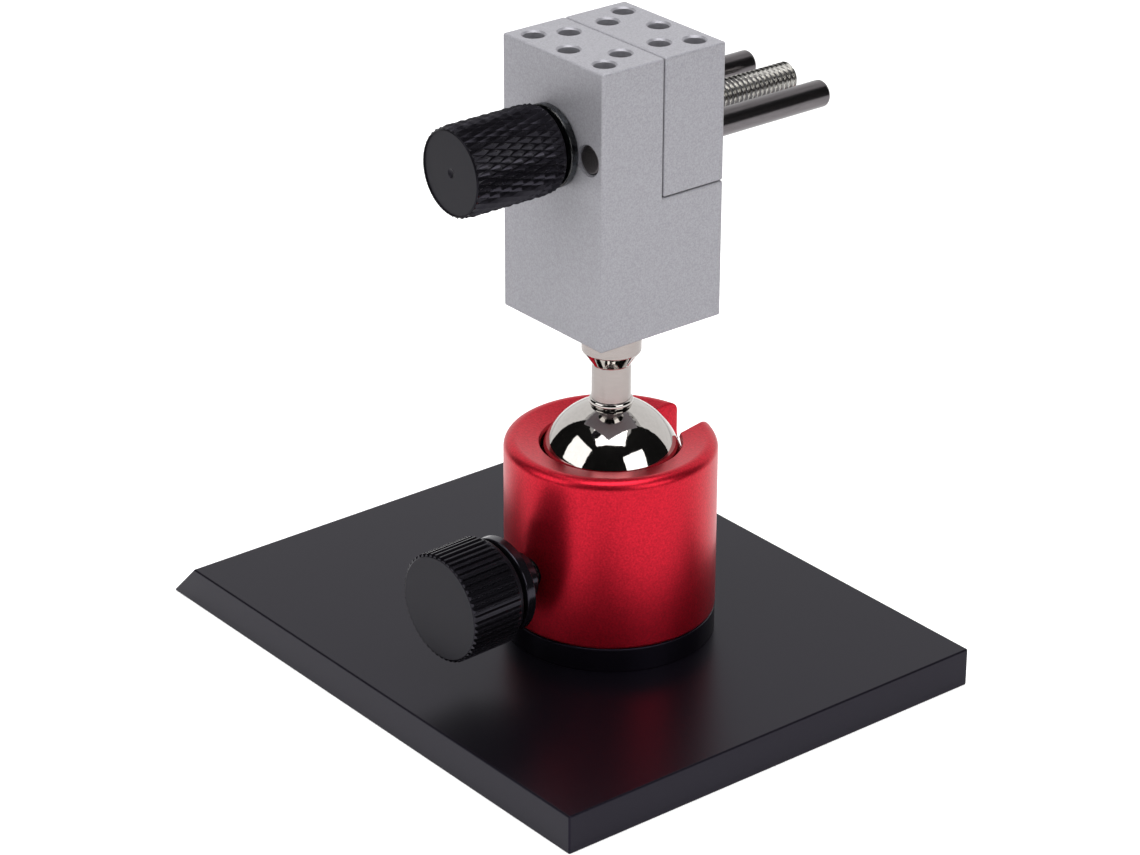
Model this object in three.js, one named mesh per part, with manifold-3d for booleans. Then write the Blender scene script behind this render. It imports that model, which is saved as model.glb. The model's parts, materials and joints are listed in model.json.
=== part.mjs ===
// Mini bench vise: two jaws on a ball stem, clamped in a slotted housing on a bevelled plate.
// Millimetres, +Z up. The origin is the middle of the plate's underside, and the jaws open along X.

import * as THREE from 'three';
import { mergeVertices } from 'three/addons/utils/BufferGeometryUtils.js';
import Module from 'manifold-3d';

const wasm = await Module();
wasm.setup();

// Fits and cutting
const runningGap = 0.15;
const partGap = 0.3;
const overrun = 1;

// Sides of round pieces
const largeSides = 48;
const mediumSides = 36;
const smallSides = 24;
const ballSteps = 16;
const pocketSteps = 4;
const seatSteps = 5;
const filletSteps = 4;
const hexSides = 6;

// Base plate
const plateWidth = 100;
const plateLength = 130;
const plateThickness = 8;
const plateBevelRun = 8;
const plateEdge = 0.4;

// Axis of the ball and its housing, from the plate's middle
const headX = 2.3;
const headY = -12.5;

// Screw and washer that hold the plate to the base cap
const baseScrewRadius = 3;
const baseScrewHeadRadius = 5;
const baseScrewHeadHeight = 3.6;
const baseScrewSocketRadius = 2.9;
const baseScrewSocketDepth = 2.4;
const baseScrewEdge = 0.5;
const baseScrewTipCover = 0.6;
const baseWasherThickness = 1;
const baseWasherRadius = 5.2;
const baseScrewRecess = 0.8;

// Base cap: the ring on the plate and the spigot in the housing's bore
const capInset = 0.05;
const capFlangeHeight = 5;
const capSpigotHeight = 4;
const capEdge = 0.3;

// Ball and stem
const ballGap = 0.3;
const beadRadius = 4.3;
const beadLength = 0.8;
const neckRadius = 3.83;
const neckReach = 7.95;
const neckFilletHeight = 0.6;
const flangeRadius = 5.8;
const flangeLength = 7.7;
const flareHeight = 2.8;
const stemStudRadius = 2.9;
const stemStudLength = 11;
const stemStudEdge = 0.5;

// Ball housing
const housingRadius = 20.8;
const housingWall = 6.35;
const housingFillet = 2;
const housingFootEdge = 0.6;
const rimRise = 5.2;
const rimDish = 1;
const rimOverhang = 0.45;
const rimEdge = 0.3;
const slotGap = 0.9;
const slotAzimuth = THREE.MathUtils.degToRad(-3);

// Seat under the ball, its cup and their spring
const seatHeight = 5.6;
const seatWall = 5.53;
const cupHeight = 12.8;
const cupWall = 5.15;
const cupEdge = 0.5;
const cupGrooveHalfWidth = 3.2;
const cupGrooveDepth = 2.6;
const springInset = 0.75;
const springWidth = 3.2;
const springThickness = 0.4;
const springSwing = 0.35;
const springWaves = 3;
const springGap = 0.05;

// Lock knob, stud and collar
const lockAzimuth = THREE.MathUtils.degToRad(182.5);
const lockDrop = 4.85;
const lockStudRadius = 2.85;
const lockStudTipRadius = 0.8;
const lockStudInKnob = 6.5;
const lockHubRadius = 4.8;
const lockHubGap = 1.8;
const lockHubLength = 4.7;
const lockCollarRadius = 9.5;
const lockCollarThickness = 2;
const lockCollarEdge = 0.3;
const lockNeckRadius = 8.6;
const lockNeckLength = 1.3;
const lockRimRadius = 10.1;
const lockRimLength = 0.9;
const lockKnobRadius = 10.8;
const lockKnobFaceRadius = 10.2;
const lockKnobLength = 11.5;
const lockKnobFaceEdge = 0.35;
const lockKnobRearEdge = 0.3;
const lockRidgeCount = 50;
const lockRidgeDepth = 0.5;
const lockRidgeShares = [0.04, 0.4, 0.56, 0.88];

// Jaw block
const blockWidth = 29.2;
const blockDepth = 29.2;
const blockHeight = 54.7;
const blockEdge = 0.5;
const jawHeight = 27.2;
const jawSeam = 0.25;

// Pin holes in the jaws' tops
const pinRadius = 2.05;
const pinDepth = 10;
const pinSink = 0.35;
const outerRowInset = 3.9;
const outerRowSpacing = 10.3;
const innerRowInset = 10;
const innerRowSpacing = 14.9;

// Guide rods and lead screw, drop from the jaws' top and places across the jaws
const slideDrop = 17.6;
const rodSpacing = 21.2;
const rodRadius = 2.66;
const rodReach = 28.1;
const rodRecess = 0.4;
const rodEdge = 0.7;
const rodHoleSink = 0.3;
const screwRadius = 3.1;
const screwReach = 29;
const screwEdge = 0.6;
const screwInKnob = 9;

// Ring that holds the screw in the fixed jaw
const ringProud = 2.1;
const ringThickness = 0.9;
const ringGrooveDepth = 0.8;
const ringMouth = 3;
const ringPocketDepth = 2;
const ringSteps = 20;

// Jaw knob and its clear washer
const jawWasherRadius = 8;
const jawWasherThickness = 1.6;
const jawWasherEdge = 0.3;
const jawHubRadius = 6.5;
const jawHubLength = 1.3;
const jawKnobRadius = 8.7;
const jawKnobLength = 20;
const jawKnobEdge = 0.4;
const jawDiamondCount = 37;
const jawDiamondRows = 8;
const jawDiamondDepth = 0.5;

// Radii round the ball's axis
const pocketRadius = housingRadius - housingWall;
const ballRadius = pocketRadius - ballGap;
const rimRadius = pocketRadius - rimOverhang;
const capRadius = housingRadius - capInset;
const slotWidth = 2 * (beadRadius + slotGap);
const lipRise = Math.sqrt(pocketRadius ** 2 - (rimRadius - rimEdge) ** 2);
const rimFaceRun = housingRadius - housingFillet - rimRadius;
const rimFaceRise = rimDish - housingFillet;
const rimSlope = Math.atan2(rimFaceRise, rimFaceRun)
  + Math.asin(housingFillet / Math.hypot(rimFaceRun, rimFaceRise));
const cupRadius = pocketRadius - partGap;
const grooveSlope = cupGrooveHalfWidth / cupGrooveDepth;
const seatFootDrop = Math.sqrt(pocketRadius ** 2 - (cupRadius - seatWall) ** 2);
const seatRimDrop = seatFootDrop - seatHeight;
const grooveFloorRadius = cupRadius - cupGrooveDepth;
const cupBore = cupRadius - cupWall;
const springOuterRadius = cupRadius - springInset;
const springInnerRadius = springOuterRadius - springWidth;

// Heights above the plate's top
const counterboreDepth = baseScrewRecess + baseScrewHeadHeight + baseWasherThickness;
const counterboreRadius = baseWasherRadius + partGap;
const capTop = capFlangeHeight + capSpigotHeight;
const springHeight = springThickness + 2 * springSwing;
const cupFoot = capTop + springHeight + 2 * springGap;
const seatFoot = cupFoot + cupHeight;
const ballHeight = seatFoot + seatFootDrop;
const lockHeight = seatFoot - lockDrop;
const rimHeight = ballHeight + rimRise;
const housingTop = rimHeight + rimDish;

// Heights above the ball's centre
const neckTop = ballRadius + neckReach;
const flangeTop = neckTop + flareHeight + flangeLength;
const blockBottom = flangeTop + runningGap;
const blockTop = blockBottom + blockHeight;
const ledgeHeight = blockTop - jawHeight;
const slideHeight = blockTop - slideDrop;

// Places along the screw, from the middle of the jaws
const faceX = blockWidth / 2;
const ringRadius = screwRadius + ringProud;
const ringGrooveRadius = screwRadius - ringGrooveDepth;
const ringPocketRadius = ringRadius + partGap;
const ringSeatX = -jawSeam / 2 - ringPocketDepth;
const screwBore = screwRadius + runningGap;
const rodBore = rodRadius + runningGap;
const jawHubEnd = -faceX - jawWasherThickness - 2 * runningGap;
const jawKnobStart = jawHubEnd - jawHubLength;
const jawKnobFace = jawKnobStart - jawKnobLength;

// Distances of the lock's pieces from the ball's axis
const lockHubStart = housingRadius + lockHubGap;
const lockCollarStart = lockHubStart + lockHubLength;
const lockCollarEnd = lockCollarStart + lockCollarThickness;
const lockNeckStart = lockCollarEnd + partGap;
const lockRimStart = lockNeckStart + lockNeckLength;
const lockKnobStart = lockRimStart + lockRimLength;
const lockKnobFace = lockKnobStart + lockKnobLength;
const lockBore = lockStudRadius + runningGap;

// Finishes
function finish(color, roughness, metalness) {
  return new THREE.MeshStandardMaterial({ color, roughness, metalness });
}

const blackAnodised = finish(0x2a282d, 0.45, 0.6);
const redAnodised = finish(0xc8203a, 0.4, 0.8);
const silverAnodised = finish(0xafafb4, 0.5, 0.7);
const plainAluminium = finish(0xb9babd, 0.4, 0.9);
const chromedSteel = finish(0xd8d4d0, 0.08, 1);
const groundSteel = finish(0xb4b0ae, 0.28, 1);
const zincSteel = finish(0xc4c2bc, 0.3, 1);
const blackSteel = finish(0x2b2b2d, 0.35, 0.9);
const blackKnob = finish(0x37353a, 0.5, 0.5);
const whiteNylon = finish(0xe4e0d6, 0.6, 0);
const clearPlastic = finish(0xdfe3e6, 0.15, 0);

// Turns a closed geometry into a solid, without the slivers that close its poles
function solidOf(geometry) {
  geometry.deleteAttribute('normal');
  geometry.deleteAttribute('uv');
  const merged = mergeVertices(geometry);
  const index = merged.index.array;
  const kept = [];
  for (let i = 0; i < index.length; i += 3) {
    const [a, b, c] = [index[i], index[i + 1], index[i + 2]];
    if (a !== b && b !== c && c !== a) kept.push(a, b, c);
  }
  const vertProperties = new Float32Array(merged.attributes.position.array);
  return new wasm.Manifold(new wasm.Mesh({ numProp: 3, vertProperties, triVerts: new Uint32Array(kept) }));
}

function geometryOf(solid) {
  const mesh = solid.getMesh();
  const geometry = new THREE.BufferGeometry();
  geometry.setAttribute('position', new THREE.BufferAttribute(mesh.vertProperties, 3));
  geometry.setIndex(new THREE.BufferAttribute(mesh.triVerts, 1));
  geometry.computeVertexNormals();
  return geometry;
}

function piece(name, solid, material, group) {
  const mesh = new THREE.Mesh(geometryOf(solid), material);
  mesh.name = name;
  group.add(mesh);
}

// Points of an arc round a centre, as [radius, height] pairs
function arc(centre, radius, from, to, steps) {
  return Array.from({ length: steps + 1 }, (_, i) => {
    const angle = THREE.MathUtils.lerp(from, to, i / steps);
    return [centre[0] + radius * Math.cos(angle), centre[1] + radius * Math.sin(angle)];
  });
}

// A turned solid about Z from [radius, height] points, on the axis at both ends or closed on itself
function turned(points, sides) {
  const profile = points.map(([r, h]) => new THREE.Vector2(Math.max(r, 0), h));
  return solidOf(new THREE.LatheGeometry(profile, sides).rotateX(Math.PI / 2));
}

function ringTurned(points, sides) {
  return turned([...points, points[0]], sides);
}

// Round bars along Z or X, used as pieces and as cutters
function barZ(radius, from, to, sides = smallSides) {
  const bar = new THREE.CylinderGeometry(radius, radius, to - from, sides).rotateX(Math.PI / 2);
  return solidOf(bar.translate(0, 0, (from + to) / 2));
}

function barX(radius, from, to, sides = smallSides) {
  return barZ(radius, from, to, sides).rotate([0, 90, 0]);
}

// A countersink about Z that opens upwards at the given height
function sinkZ(radius, sink, height) {
  const top = height + overrun;
  const points = [[0, height - sink], [radius, height - sink], [radius + sink + overrun, top], [0, top]];
  return turned(points, smallSides);
}

// A straight-sided outline with each listed corner cut off
function outline(corners) {
  const points = [];
  corners.forEach(([x, y, cut], i) => {
    const here = new THREE.Vector2(x, y);
    if (!cut) {
      points.push(here);
      return;
    }
    const before = new THREE.Vector2(...corners.at(i - 1));
    const after = new THREE.Vector2(...corners[(i + 1) % corners.length]);
    points.push(here.clone().add(before.sub(here).setLength(cut)));
    points.push(here.clone().add(after.sub(here).setLength(cut)));
  });
  return new THREE.Shape(points);
}

// A slab of that outline, centred on its thickness, with its end edges broken
function slab(shape, thickness, edge) {
  const depth = thickness - 2 * edge;
  const settings = { depth, bevelThickness: edge, bevelSize: edge, bevelOffset: -edge, bevelSegments: 1 };
  return new THREE.ExtrudeGeometry(shape, settings).translate(0, 0, -depth / 2);
}

function basePlate() {
  const y = plateLength / 2;
  const shape = outline([
    [-y, 0, plateEdge],
    [y, 0, 0],
    [y - plateBevelRun, plateThickness, plateEdge],
    [-y, plateThickness, plateEdge],
  ]);
  const across = new THREE.Matrix4().makeBasis(
    new THREE.Vector3(0, 1, 0), new THREE.Vector3(0, 0, 1), new THREE.Vector3(1, 0, 0));
  const plate = solidOf(slab(shape, plateWidth, plateEdge).applyMatrix4(across));
  const hole = barZ(baseScrewRadius + partGap, -overrun, plateThickness + overrun);
  const pocket = barZ(counterboreRadius, -overrun, counterboreDepth);
  return plate.subtract(hole.add(pocket).translate([headX, headY, 0]));
}

// Heights from the plate's underside
function baseScrew() {
  const seat = counterboreDepth - baseWasherThickness;
  const tip = plateThickness + capTop - baseScrewTipCover;
  const screw = turned([
    [0, baseScrewRecess],
    [baseScrewHeadRadius - baseScrewEdge, baseScrewRecess],
    [baseScrewHeadRadius, baseScrewRecess + baseScrewEdge],
    [baseScrewHeadRadius, seat],
    [baseScrewRadius, seat],
    [baseScrewRadius, tip - baseScrewEdge],
    [baseScrewRadius - baseScrewEdge, tip],
    [0, tip],
  ], smallSides);
  const socketTop = baseScrewRecess + baseScrewSocketDepth;
  return screw.subtract(barZ(baseScrewSocketRadius, baseScrewRecess - overrun, socketTop, hexSides));
}

function baseWasher() {
  const inner = baseScrewRadius + partGap;
  const low = counterboreDepth - baseWasherThickness;
  return ringTurned([
    [inner, low], [baseWasherRadius, low], [baseWasherRadius, counterboreDepth], [inner, counterboreDepth],
  ], smallSides);
}

function baseCap() {
  const bore = baseScrewRadius + runningGap;
  const spigot = pocketRadius - partGap;
  return ringTurned([
    [bore, 0],
    [capRadius, 0],
    [capRadius, capFlangeHeight - capEdge],
    [capRadius - capEdge, capFlangeHeight],
    [spigot, capFlangeHeight],
    [spigot, capTop - capEdge],
    [spigot - capEdge, capTop],
    [bore, capTop],
  ], largeSides);
}

function ballHousing() {
  const filletCentre = [housingRadius - housingFillet, housingTop - housingFillet];
  const lipAngle = Math.atan2(lipRise, rimRadius - rimEdge);
  const body = ringTurned([
    [pocketRadius, capFlangeHeight],
    [housingRadius - housingFootEdge, capFlangeHeight],
    [housingRadius, capFlangeHeight + housingFootEdge],
    ...arc(filletCentre, housingFillet, 0, Math.PI / 2 + rimSlope, filletSteps),
    [rimRadius, rimHeight],
    ...arc([0, ballHeight], pocketRadius, lipAngle, 0, pocketSteps),
  ], largeSides);
  const reach = housingRadius + overrun;
  const rise = housingTop - ballHeight + overrun;
  const walls = solidOf(new THREE.BoxGeometry(reach, slotWidth, rise));
  const slot = walls.translate([reach / 2, 0, ballHeight + rise / 2])
    .add(barX(slotWidth / 2, 0, reach).translate([0, 0, ballHeight]))
    .rotate([0, 0, THREE.MathUtils.radToDeg(slotAzimuth)]);
  const lockHole = barX(lockBore, 0, reach);
  const turn = [0, 0, THREE.MathUtils.radToDeg(lockAzimuth)];
  return body.subtract(slot).subtract(lockHole.rotate(turn).translate([0, 0, lockHeight]));
}

function ballSeat() {
  const rimAngle = -Math.asin(seatRimDrop / pocketRadius);
  const footAngle = -Math.asin(seatFootDrop / pocketRadius);
  return ringTurned([
    [cupRadius, seatFoot],
    [cupRadius, ballHeight - seatRimDrop],
    ...arc([0, ballHeight], pocketRadius, rimAngle, footAngle, seatSteps),
  ], largeSides);
}

function ballCup() {
  return ringTurned([
    [cupBore, cupFoot],
    [cupRadius - cupEdge, cupFoot],
    [cupRadius, cupFoot + cupEdge],
    [cupRadius, lockHeight - cupGrooveHalfWidth],
    [grooveFloorRadius, lockHeight],
    [cupRadius, lockHeight + cupGrooveHalfWidth],
    [cupRadius, seatFoot],
    [cupBore, seatFoot],
  ], largeSides);
}

// A flat ring bent into waves, between the cap's spigot and the cup
function cupSpring() {
  const middle = capTop + springGap + springHeight / 2;
  const [low, high] = [middle - springThickness / 2, middle + springThickness / 2];
  const profile = [
    [springInnerRadius, low], [springOuterRadius, low], [springOuterRadius, high], [springInnerRadius, high],
  ];
  const points = [...profile, profile[0]].map(([r, h]) => new THREE.Vector2(r, h));
  const ring = new THREE.LatheGeometry(points, largeSides).rotateX(Math.PI / 2);
  const position = ring.attributes.position;
  for (let i = 0; i < position.count; i += 1) {
    const angle = Math.atan2(position.getY(i), position.getX(i));
    position.setZ(i, position.getZ(i) + springSwing * Math.cos(springWaves * angle));
  }
  return solidOf(ring);
}

// Heights from the ball's centre
function ballStem() {
  const beadAngle = Math.acos(beadRadius / ballRadius);
  const beadFoot = ballRadius * Math.sin(beadAngle);
  const beadTop = beadFoot + beadLength;
  const studTop = flangeTop + stemStudLength;
  return turned([
    ...arc([0, 0], ballRadius, -Math.PI / 2, beadAngle, ballSteps),
    [beadRadius, beadTop],
    [neckRadius, beadTop + neckFilletHeight],
    [neckRadius, neckTop],
    [flangeRadius, neckTop + flareHeight],
    [flangeRadius, flangeTop],
    [stemStudRadius, flangeTop],
    [stemStudRadius, studTop - stemStudEdge],
    [stemStudRadius - stemStudEdge, studTop],
    [0, studTop],
  ], largeSides);
}

// Lock pieces are turned about Z, with heights that are distances from the ball's axis
function lockStud() {
  const tip = grooveFloorRadius + (lockStudTipRadius + partGap * Math.hypot(1, grooveSlope)) / grooveSlope;
  const cone = (lockStudRadius - lockStudTipRadius) / grooveSlope;
  const end = lockKnobStart + lockStudInKnob;
  return turned([
    [0, tip], [lockStudTipRadius, tip], [lockStudRadius, tip + cone], [lockStudRadius, end], [0, end],
  ], smallSides);
}

function lockCollar() {
  return ringTurned([
    [lockBore, lockHubStart],
    [lockHubRadius, lockHubStart],
    [lockHubRadius, lockCollarStart],
    [lockCollarRadius - lockCollarEdge, lockCollarStart],
    [lockCollarRadius, lockCollarStart + lockCollarEdge],
    [lockCollarRadius, lockCollarEnd],
    [lockBore, lockCollarEnd],
  ], mediumSides);
}

// A bar a little wider than its radius, whose ends are the cones that break a knurl's edges
function coneEnds(radius, ends, sides) {
  const wide = radius + overrun;
  const [low, high] = ends;
  const rise = ({ faceRadius, edge }) => edge * (wide - faceRadius) / (radius - faceRadius);
  return turned([
    [0, low.at],
    [low.faceRadius, low.at],
    [wide, low.at + rise(low)],
    [wide, high.at - rise(high)],
    [high.faceRadius, high.at],
    [0, high.at],
  ], sides);
}

function lockKnob() {
  const boreEnd = lockKnobStart + lockStudInKnob + partGap;
  const shape = new THREE.Shape();
  for (let i = 0; i < lockRidgeCount; i += 1) {
    lockRidgeShares.forEach((share, k) => {
      const angle = (i + share) * 2 * Math.PI / lockRidgeCount;
      const radius = k < 2 ? lockKnobRadius : lockKnobRadius - lockRidgeDepth;
      const [x, y] = [radius * Math.cos(angle), radius * Math.sin(angle)];
      if (i === 0 && k === 0) shape.moveTo(x, y);
      else shape.lineTo(x, y);
    });
  }
  const depth = lockKnobFace - lockKnobStart;
  const ridges = solidOf(new THREE.ExtrudeGeometry(shape, { depth, bevelEnabled: false }));
  const ends = [
    { at: lockKnobStart, faceRadius: lockKnobRadius - lockKnobRearEdge, edge: lockKnobRearEdge },
    { at: lockKnobFace, faceRadius: lockKnobFaceRadius, edge: lockKnobFaceEdge },
  ];
  const envelope = coneEnds(lockKnobRadius, ends, lockRidgeCount);
  return ridges.translate([0, 0, lockKnobStart]).intersect(envelope)
    .add(barZ(lockRimRadius, lockRimStart, lockKnobStart + overrun, mediumSides))
    .add(barZ(lockNeckRadius, lockNeckStart, lockRimStart + overrun, mediumSides))
    .subtract(barZ(lockBore, lockNeckStart - overrun, boreEnd));
}

// Five pin holes in a jaw's top: three by the outer face and two towards the seam
function pinHoles(side) {
  const rows = [
    [outerRowInset, [-outerRowSpacing, 0, outerRowSpacing]],
    [innerRowInset, [-innerRowSpacing / 2, innerRowSpacing / 2]],
  ];
  const hole = barZ(pinRadius, blockTop - pinDepth, blockTop + overrun)
    .add(sinkZ(pinRadius, pinSink, blockTop));
  const holes = rows.flatMap(([inset, places]) => {
    const x = side * (faceX - inset);
    return places.map((y) => hole.translate([x, y, 0]));
  });
  return holes.reduce((all, one) => all.add(one));
}

// Bores for the two rods, and one on the axis for the screw
function slideBores(from, to) {
  const rod = barX(rodBore, from, to);
  return barX(screwBore, from, to)
    .add(rod.translate([0, -rodSpacing / 2, 0]))
    .add(rod.translate([0, rodSpacing / 2, 0]))
    .translate([0, 0, slideHeight]);
}

function jawBody() {
  const shape = outline([
    [-faceX, blockBottom, blockEdge],
    [faceX, blockBottom, blockEdge],
    [faceX, ledgeHeight - runningGap, blockEdge],
    [-jawSeam / 2, ledgeHeight - runningGap, 0],
    [-jawSeam / 2, blockTop, blockEdge],
    [-faceX, blockTop, blockEdge],
  ]);
  const block = solidOf(slab(shape, blockDepth, blockEdge).rotateX(Math.PI / 2));
  const pocket = barX(ringPocketRadius, ringSeatX, overrun);
  const sink = sinkZ(rodBore, rodHoleSink, 0).rotate([0, -90, 0]);
  const sinks = [-1, 1].map((side) => sink.translate([-faceX, side * rodSpacing / 2, 0]));
  const studHoleTop = flangeTop + stemStudLength + overrun;
  return block
    .subtract(pinHoles(-1))
    .subtract(slideBores(-faceX - overrun, overrun))
    .subtract(pocket.add(sinks[0]).add(sinks[1]).translate([0, 0, slideHeight]))
    .subtract(barZ(stemStudRadius + runningGap, blockBottom - overrun, studHoleTop));
}

function movingJaw() {
  const shape = outline([
    [jawSeam / 2, ledgeHeight, blockEdge],
    [faceX, ledgeHeight, blockEdge],
    [faceX, blockTop, blockEdge],
    [jawSeam / 2, blockTop, blockEdge],
  ]);
  return solidOf(slab(shape, blockDepth, blockEdge).rotateX(Math.PI / 2))
    .subtract(pinHoles(1))
    .subtract(slideBores(-overrun, faceX + overrun));
}

// Slide pieces are turned about Z and then laid along X
function guideRod() {
  const [start, end] = [-faceX + rodRecess, faceX + rodReach];
  return turned([
    [0, start],
    [rodRadius - rodHoleSink, start],
    [rodRadius, start + rodHoleSink],
    [rodRadius, end - rodEdge],
    [rodRadius - rodEdge, end],
    [0, end],
  ], smallSides);
}

function leadScrew() {
  const start = jawKnobStart - screwInKnob;
  const end = faceX + screwReach;
  const grooveStart = ringSeatX + runningGap;
  const grooveEnd = grooveStart + ringThickness + 2 * runningGap;
  return turned([
    [0, start],
    [screwRadius, start],
    [screwRadius, grooveStart],
    [ringGrooveRadius, grooveStart],
    [ringGrooveRadius, grooveEnd],
    [screwRadius, grooveEnd],
    [screwRadius, end - screwEdge],
    [screwRadius - screwEdge, end],
    [0, end],
  ], smallSides);
}

// A flat open ring whose mouth faces sideways
function retainingRing() {
  const inner = ringGrooveRadius + runningGap;
  const outerAngle = Math.asin(ringMouth / 2 / ringRadius);
  const innerAngle = Math.asin(ringMouth / 2 / inner);
  const full = 2 * Math.PI;
  const points = [
    ...arc([0, 0], ringRadius, outerAngle, full - outerAngle, ringSteps),
    ...arc([0, 0], inner, full - innerAngle, innerAngle, ringSteps),
  ].map(([x, y]) => new THREE.Vector2(x, y));
  const settings = { depth: ringThickness, bevelEnabled: false };
  const ring = solidOf(new THREE.ExtrudeGeometry(new THREE.Shape(points), settings));
  return ring.translate([0, 0, ringSeatX + 2 * runningGap]);
}

function thrustWasher() {
  const near = -faceX - runningGap;
  const far = near - jawWasherThickness;
  return ringTurned([
    [screwBore, far],
    [jawWasherRadius - jawWasherEdge, far],
    [jawWasherRadius, far + jawWasherEdge],
    [jawWasherRadius, near],
    [screwBore, near],
  ], mediumSides);
}

// A round bar covered in diamond points, from rows of valley points with a tip in each diamond
function diamondBar(radius, depth, from, to, count, rows) {
  const positions = [];
  const step = (to - from) / rows;
  const at = (row, place, r) => {
    const angle = place * 2 * Math.PI / count;
    return [r * Math.cos(angle), r * Math.sin(angle), from + row * step];
  };
  const valley = (row, place) => at(row, place, radius - depth);
  const tip = (row, place) => at(row, place, radius);
  const triangle = (...corners) => corners.forEach((corner) => positions.push(...corner));
  for (let row = 0; row <= rows; row += 1) {
    for (let i = 0; i < count; i += 1) {
      const left = i + (row % 2) / 2;
      const middle = left + 1 / 2;
      const right = left + 1;
      if (row > 0) {
        triangle(valley(row, left), valley(row - 1, middle), tip(row, middle));
        triangle(valley(row - 1, middle), valley(row, right), tip(row, middle));
      } else {
        triangle([0, 0, from], tip(row, middle), valley(row, left));
        triangle([0, 0, from], valley(row, right), tip(row, middle));
      }
      if (row < rows) {
        triangle(valley(row, right), valley(row + 1, middle), tip(row, middle));
        triangle(valley(row + 1, middle), valley(row, left), tip(row, middle));
      } else {
        triangle([0, 0, to], valley(row, left), tip(row, middle));
        triangle([0, 0, to], tip(row, middle), valley(row, right));
      }
    }
  }
  const geometry = new THREE.BufferGeometry();
  geometry.setAttribute('position', new THREE.Float32BufferAttribute(positions, 3));
  return solidOf(geometry);
}

function jawKnob() {
  const [face, start] = [jawKnobFace, jawKnobStart];
  const bar = diamondBar(jawKnobRadius, jawDiamondDepth, face, start, jawDiamondCount, jawDiamondRows);
  const faceRadius = jawKnobRadius - jawKnobEdge;
  const ends = [{ at: face, faceRadius, edge: jawKnobEdge }, { at: start, faceRadius, edge: jawKnobEdge }];
  const envelope = coneEnds(jawKnobRadius, ends, jawDiamondCount);
  return bar.intersect(envelope)
    .add(barZ(jawHubRadius, start - overrun, jawHubEnd, mediumSides))
    .subtract(barZ(screwBore, start - screwInKnob - partGap, jawHubEnd + overrun));
}

// Groups carry each set of pieces to its place
function placed(parent, x, y, z) {
  const group = new THREE.Group();
  group.position.set(x, y, z);
  parent.add(group);
  return group;
}

const vise = new THREE.Group();

piece('base_plate', basePlate(), blackAnodised, vise);
const fixing = placed(vise, headX, headY, 0);
piece('base_screw', baseScrew(), zincSteel, fixing);
piece('base_washer', baseWasher(), zincSteel, fixing);

const stand = placed(vise, headX, headY, plateThickness);
piece('base_cap', baseCap(), blackAnodised, stand);
piece('ball_housing', ballHousing(), redAnodised, stand);
piece('ball_seat', ballSeat(), whiteNylon, stand);
piece('ball_cup', ballCup(), plainAluminium, stand);
piece('cup_spring', cupSpring(), groundSteel, stand);

const lockTurn = placed(stand, 0, 0, lockHeight);
lockTurn.rotation.z = lockAzimuth;
const lock = placed(lockTurn, 0, 0, 0);
lock.rotation.y = Math.PI / 2;
piece('lock_stud', lockStud(), blackSteel, lock);
piece('lock_collar', lockCollar(), blackKnob, lock);
piece('lock_knob', lockKnob(), blackKnob, lock);

const head = placed(stand, 0, 0, ballHeight);
piece('ball_stem', ballStem(), chromedSteel, head);
piece('jaw_body', jawBody(), silverAnodised, head);
piece('moving_jaw', movingJaw(), silverAnodised, head);

const rods = { guide_rod_near: -1, guide_rod_far: 1 };
for (const [name, side] of Object.entries(rods)) {
  const rod = placed(head, 0, side * rodSpacing / 2, slideHeight);
  rod.rotation.y = Math.PI / 2;
  piece(name, guideRod(), groundSteel, rod);
}

const slide = placed(head, 0, 0, slideHeight);
slide.rotation.y = Math.PI / 2;
piece('lead_screw', leadScrew(), zincSteel, slide);
piece('retaining_ring', retainingRing(), zincSteel, slide);
piece('thrust_washer', thrustWasher(), clearPlastic, slide);
piece('jaw_knob', jawKnob(), blackKnob, slide);

export default vise;
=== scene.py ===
"""Looks of a mini bench vise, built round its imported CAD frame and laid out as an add-on.

Places come from the frame. Sizes are metres inside Blender and are written as millimetres times MM.
"""

import json
import math

import bmesh
import bpy
from bpy.props import FloatProperty, FloatVectorProperty, IntProperty, PointerProperty
from mathutils import Matrix, Vector


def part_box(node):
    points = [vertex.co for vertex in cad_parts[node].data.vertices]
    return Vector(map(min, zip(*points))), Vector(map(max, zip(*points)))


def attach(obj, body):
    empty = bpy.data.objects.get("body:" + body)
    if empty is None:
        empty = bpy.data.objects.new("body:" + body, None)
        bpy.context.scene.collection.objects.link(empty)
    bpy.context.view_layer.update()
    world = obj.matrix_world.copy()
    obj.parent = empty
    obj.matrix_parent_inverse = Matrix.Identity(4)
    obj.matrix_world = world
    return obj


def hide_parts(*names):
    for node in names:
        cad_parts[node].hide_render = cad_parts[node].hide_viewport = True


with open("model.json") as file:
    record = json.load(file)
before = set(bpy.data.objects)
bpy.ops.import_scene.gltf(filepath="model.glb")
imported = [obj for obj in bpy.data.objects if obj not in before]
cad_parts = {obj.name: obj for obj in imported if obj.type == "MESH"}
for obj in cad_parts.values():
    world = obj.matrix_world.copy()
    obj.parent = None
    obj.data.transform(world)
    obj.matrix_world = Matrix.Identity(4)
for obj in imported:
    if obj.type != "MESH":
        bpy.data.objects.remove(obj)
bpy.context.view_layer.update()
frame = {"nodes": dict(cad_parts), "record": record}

bl_info = {
    "name": "Mini Bench Vise",
    "version": (1, 0, 0),
    "blender": (4, 5, 0),
    "location": "3D View > Sidebar > Vise",
    "description": "Builds the looks of a mini bench vise round its CAD frame",
    "category": "Add Mesh",
}

MM = 0.001
# From these angles on an edge is shaded sharp, and a block's edge is broken
SHARP_ANGLE = math.radians(32)
BREAK_ANGLE = math.radians(30)
# The slope of a drilled hole's pointed floor
DRILL_POINT = math.radians(30)
# How deep a joined shell's foot is sunk, and how far a cutter reaches past what it cuts
SINK = 0.3 * MM
OVERRUN = 1 * MM
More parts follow.
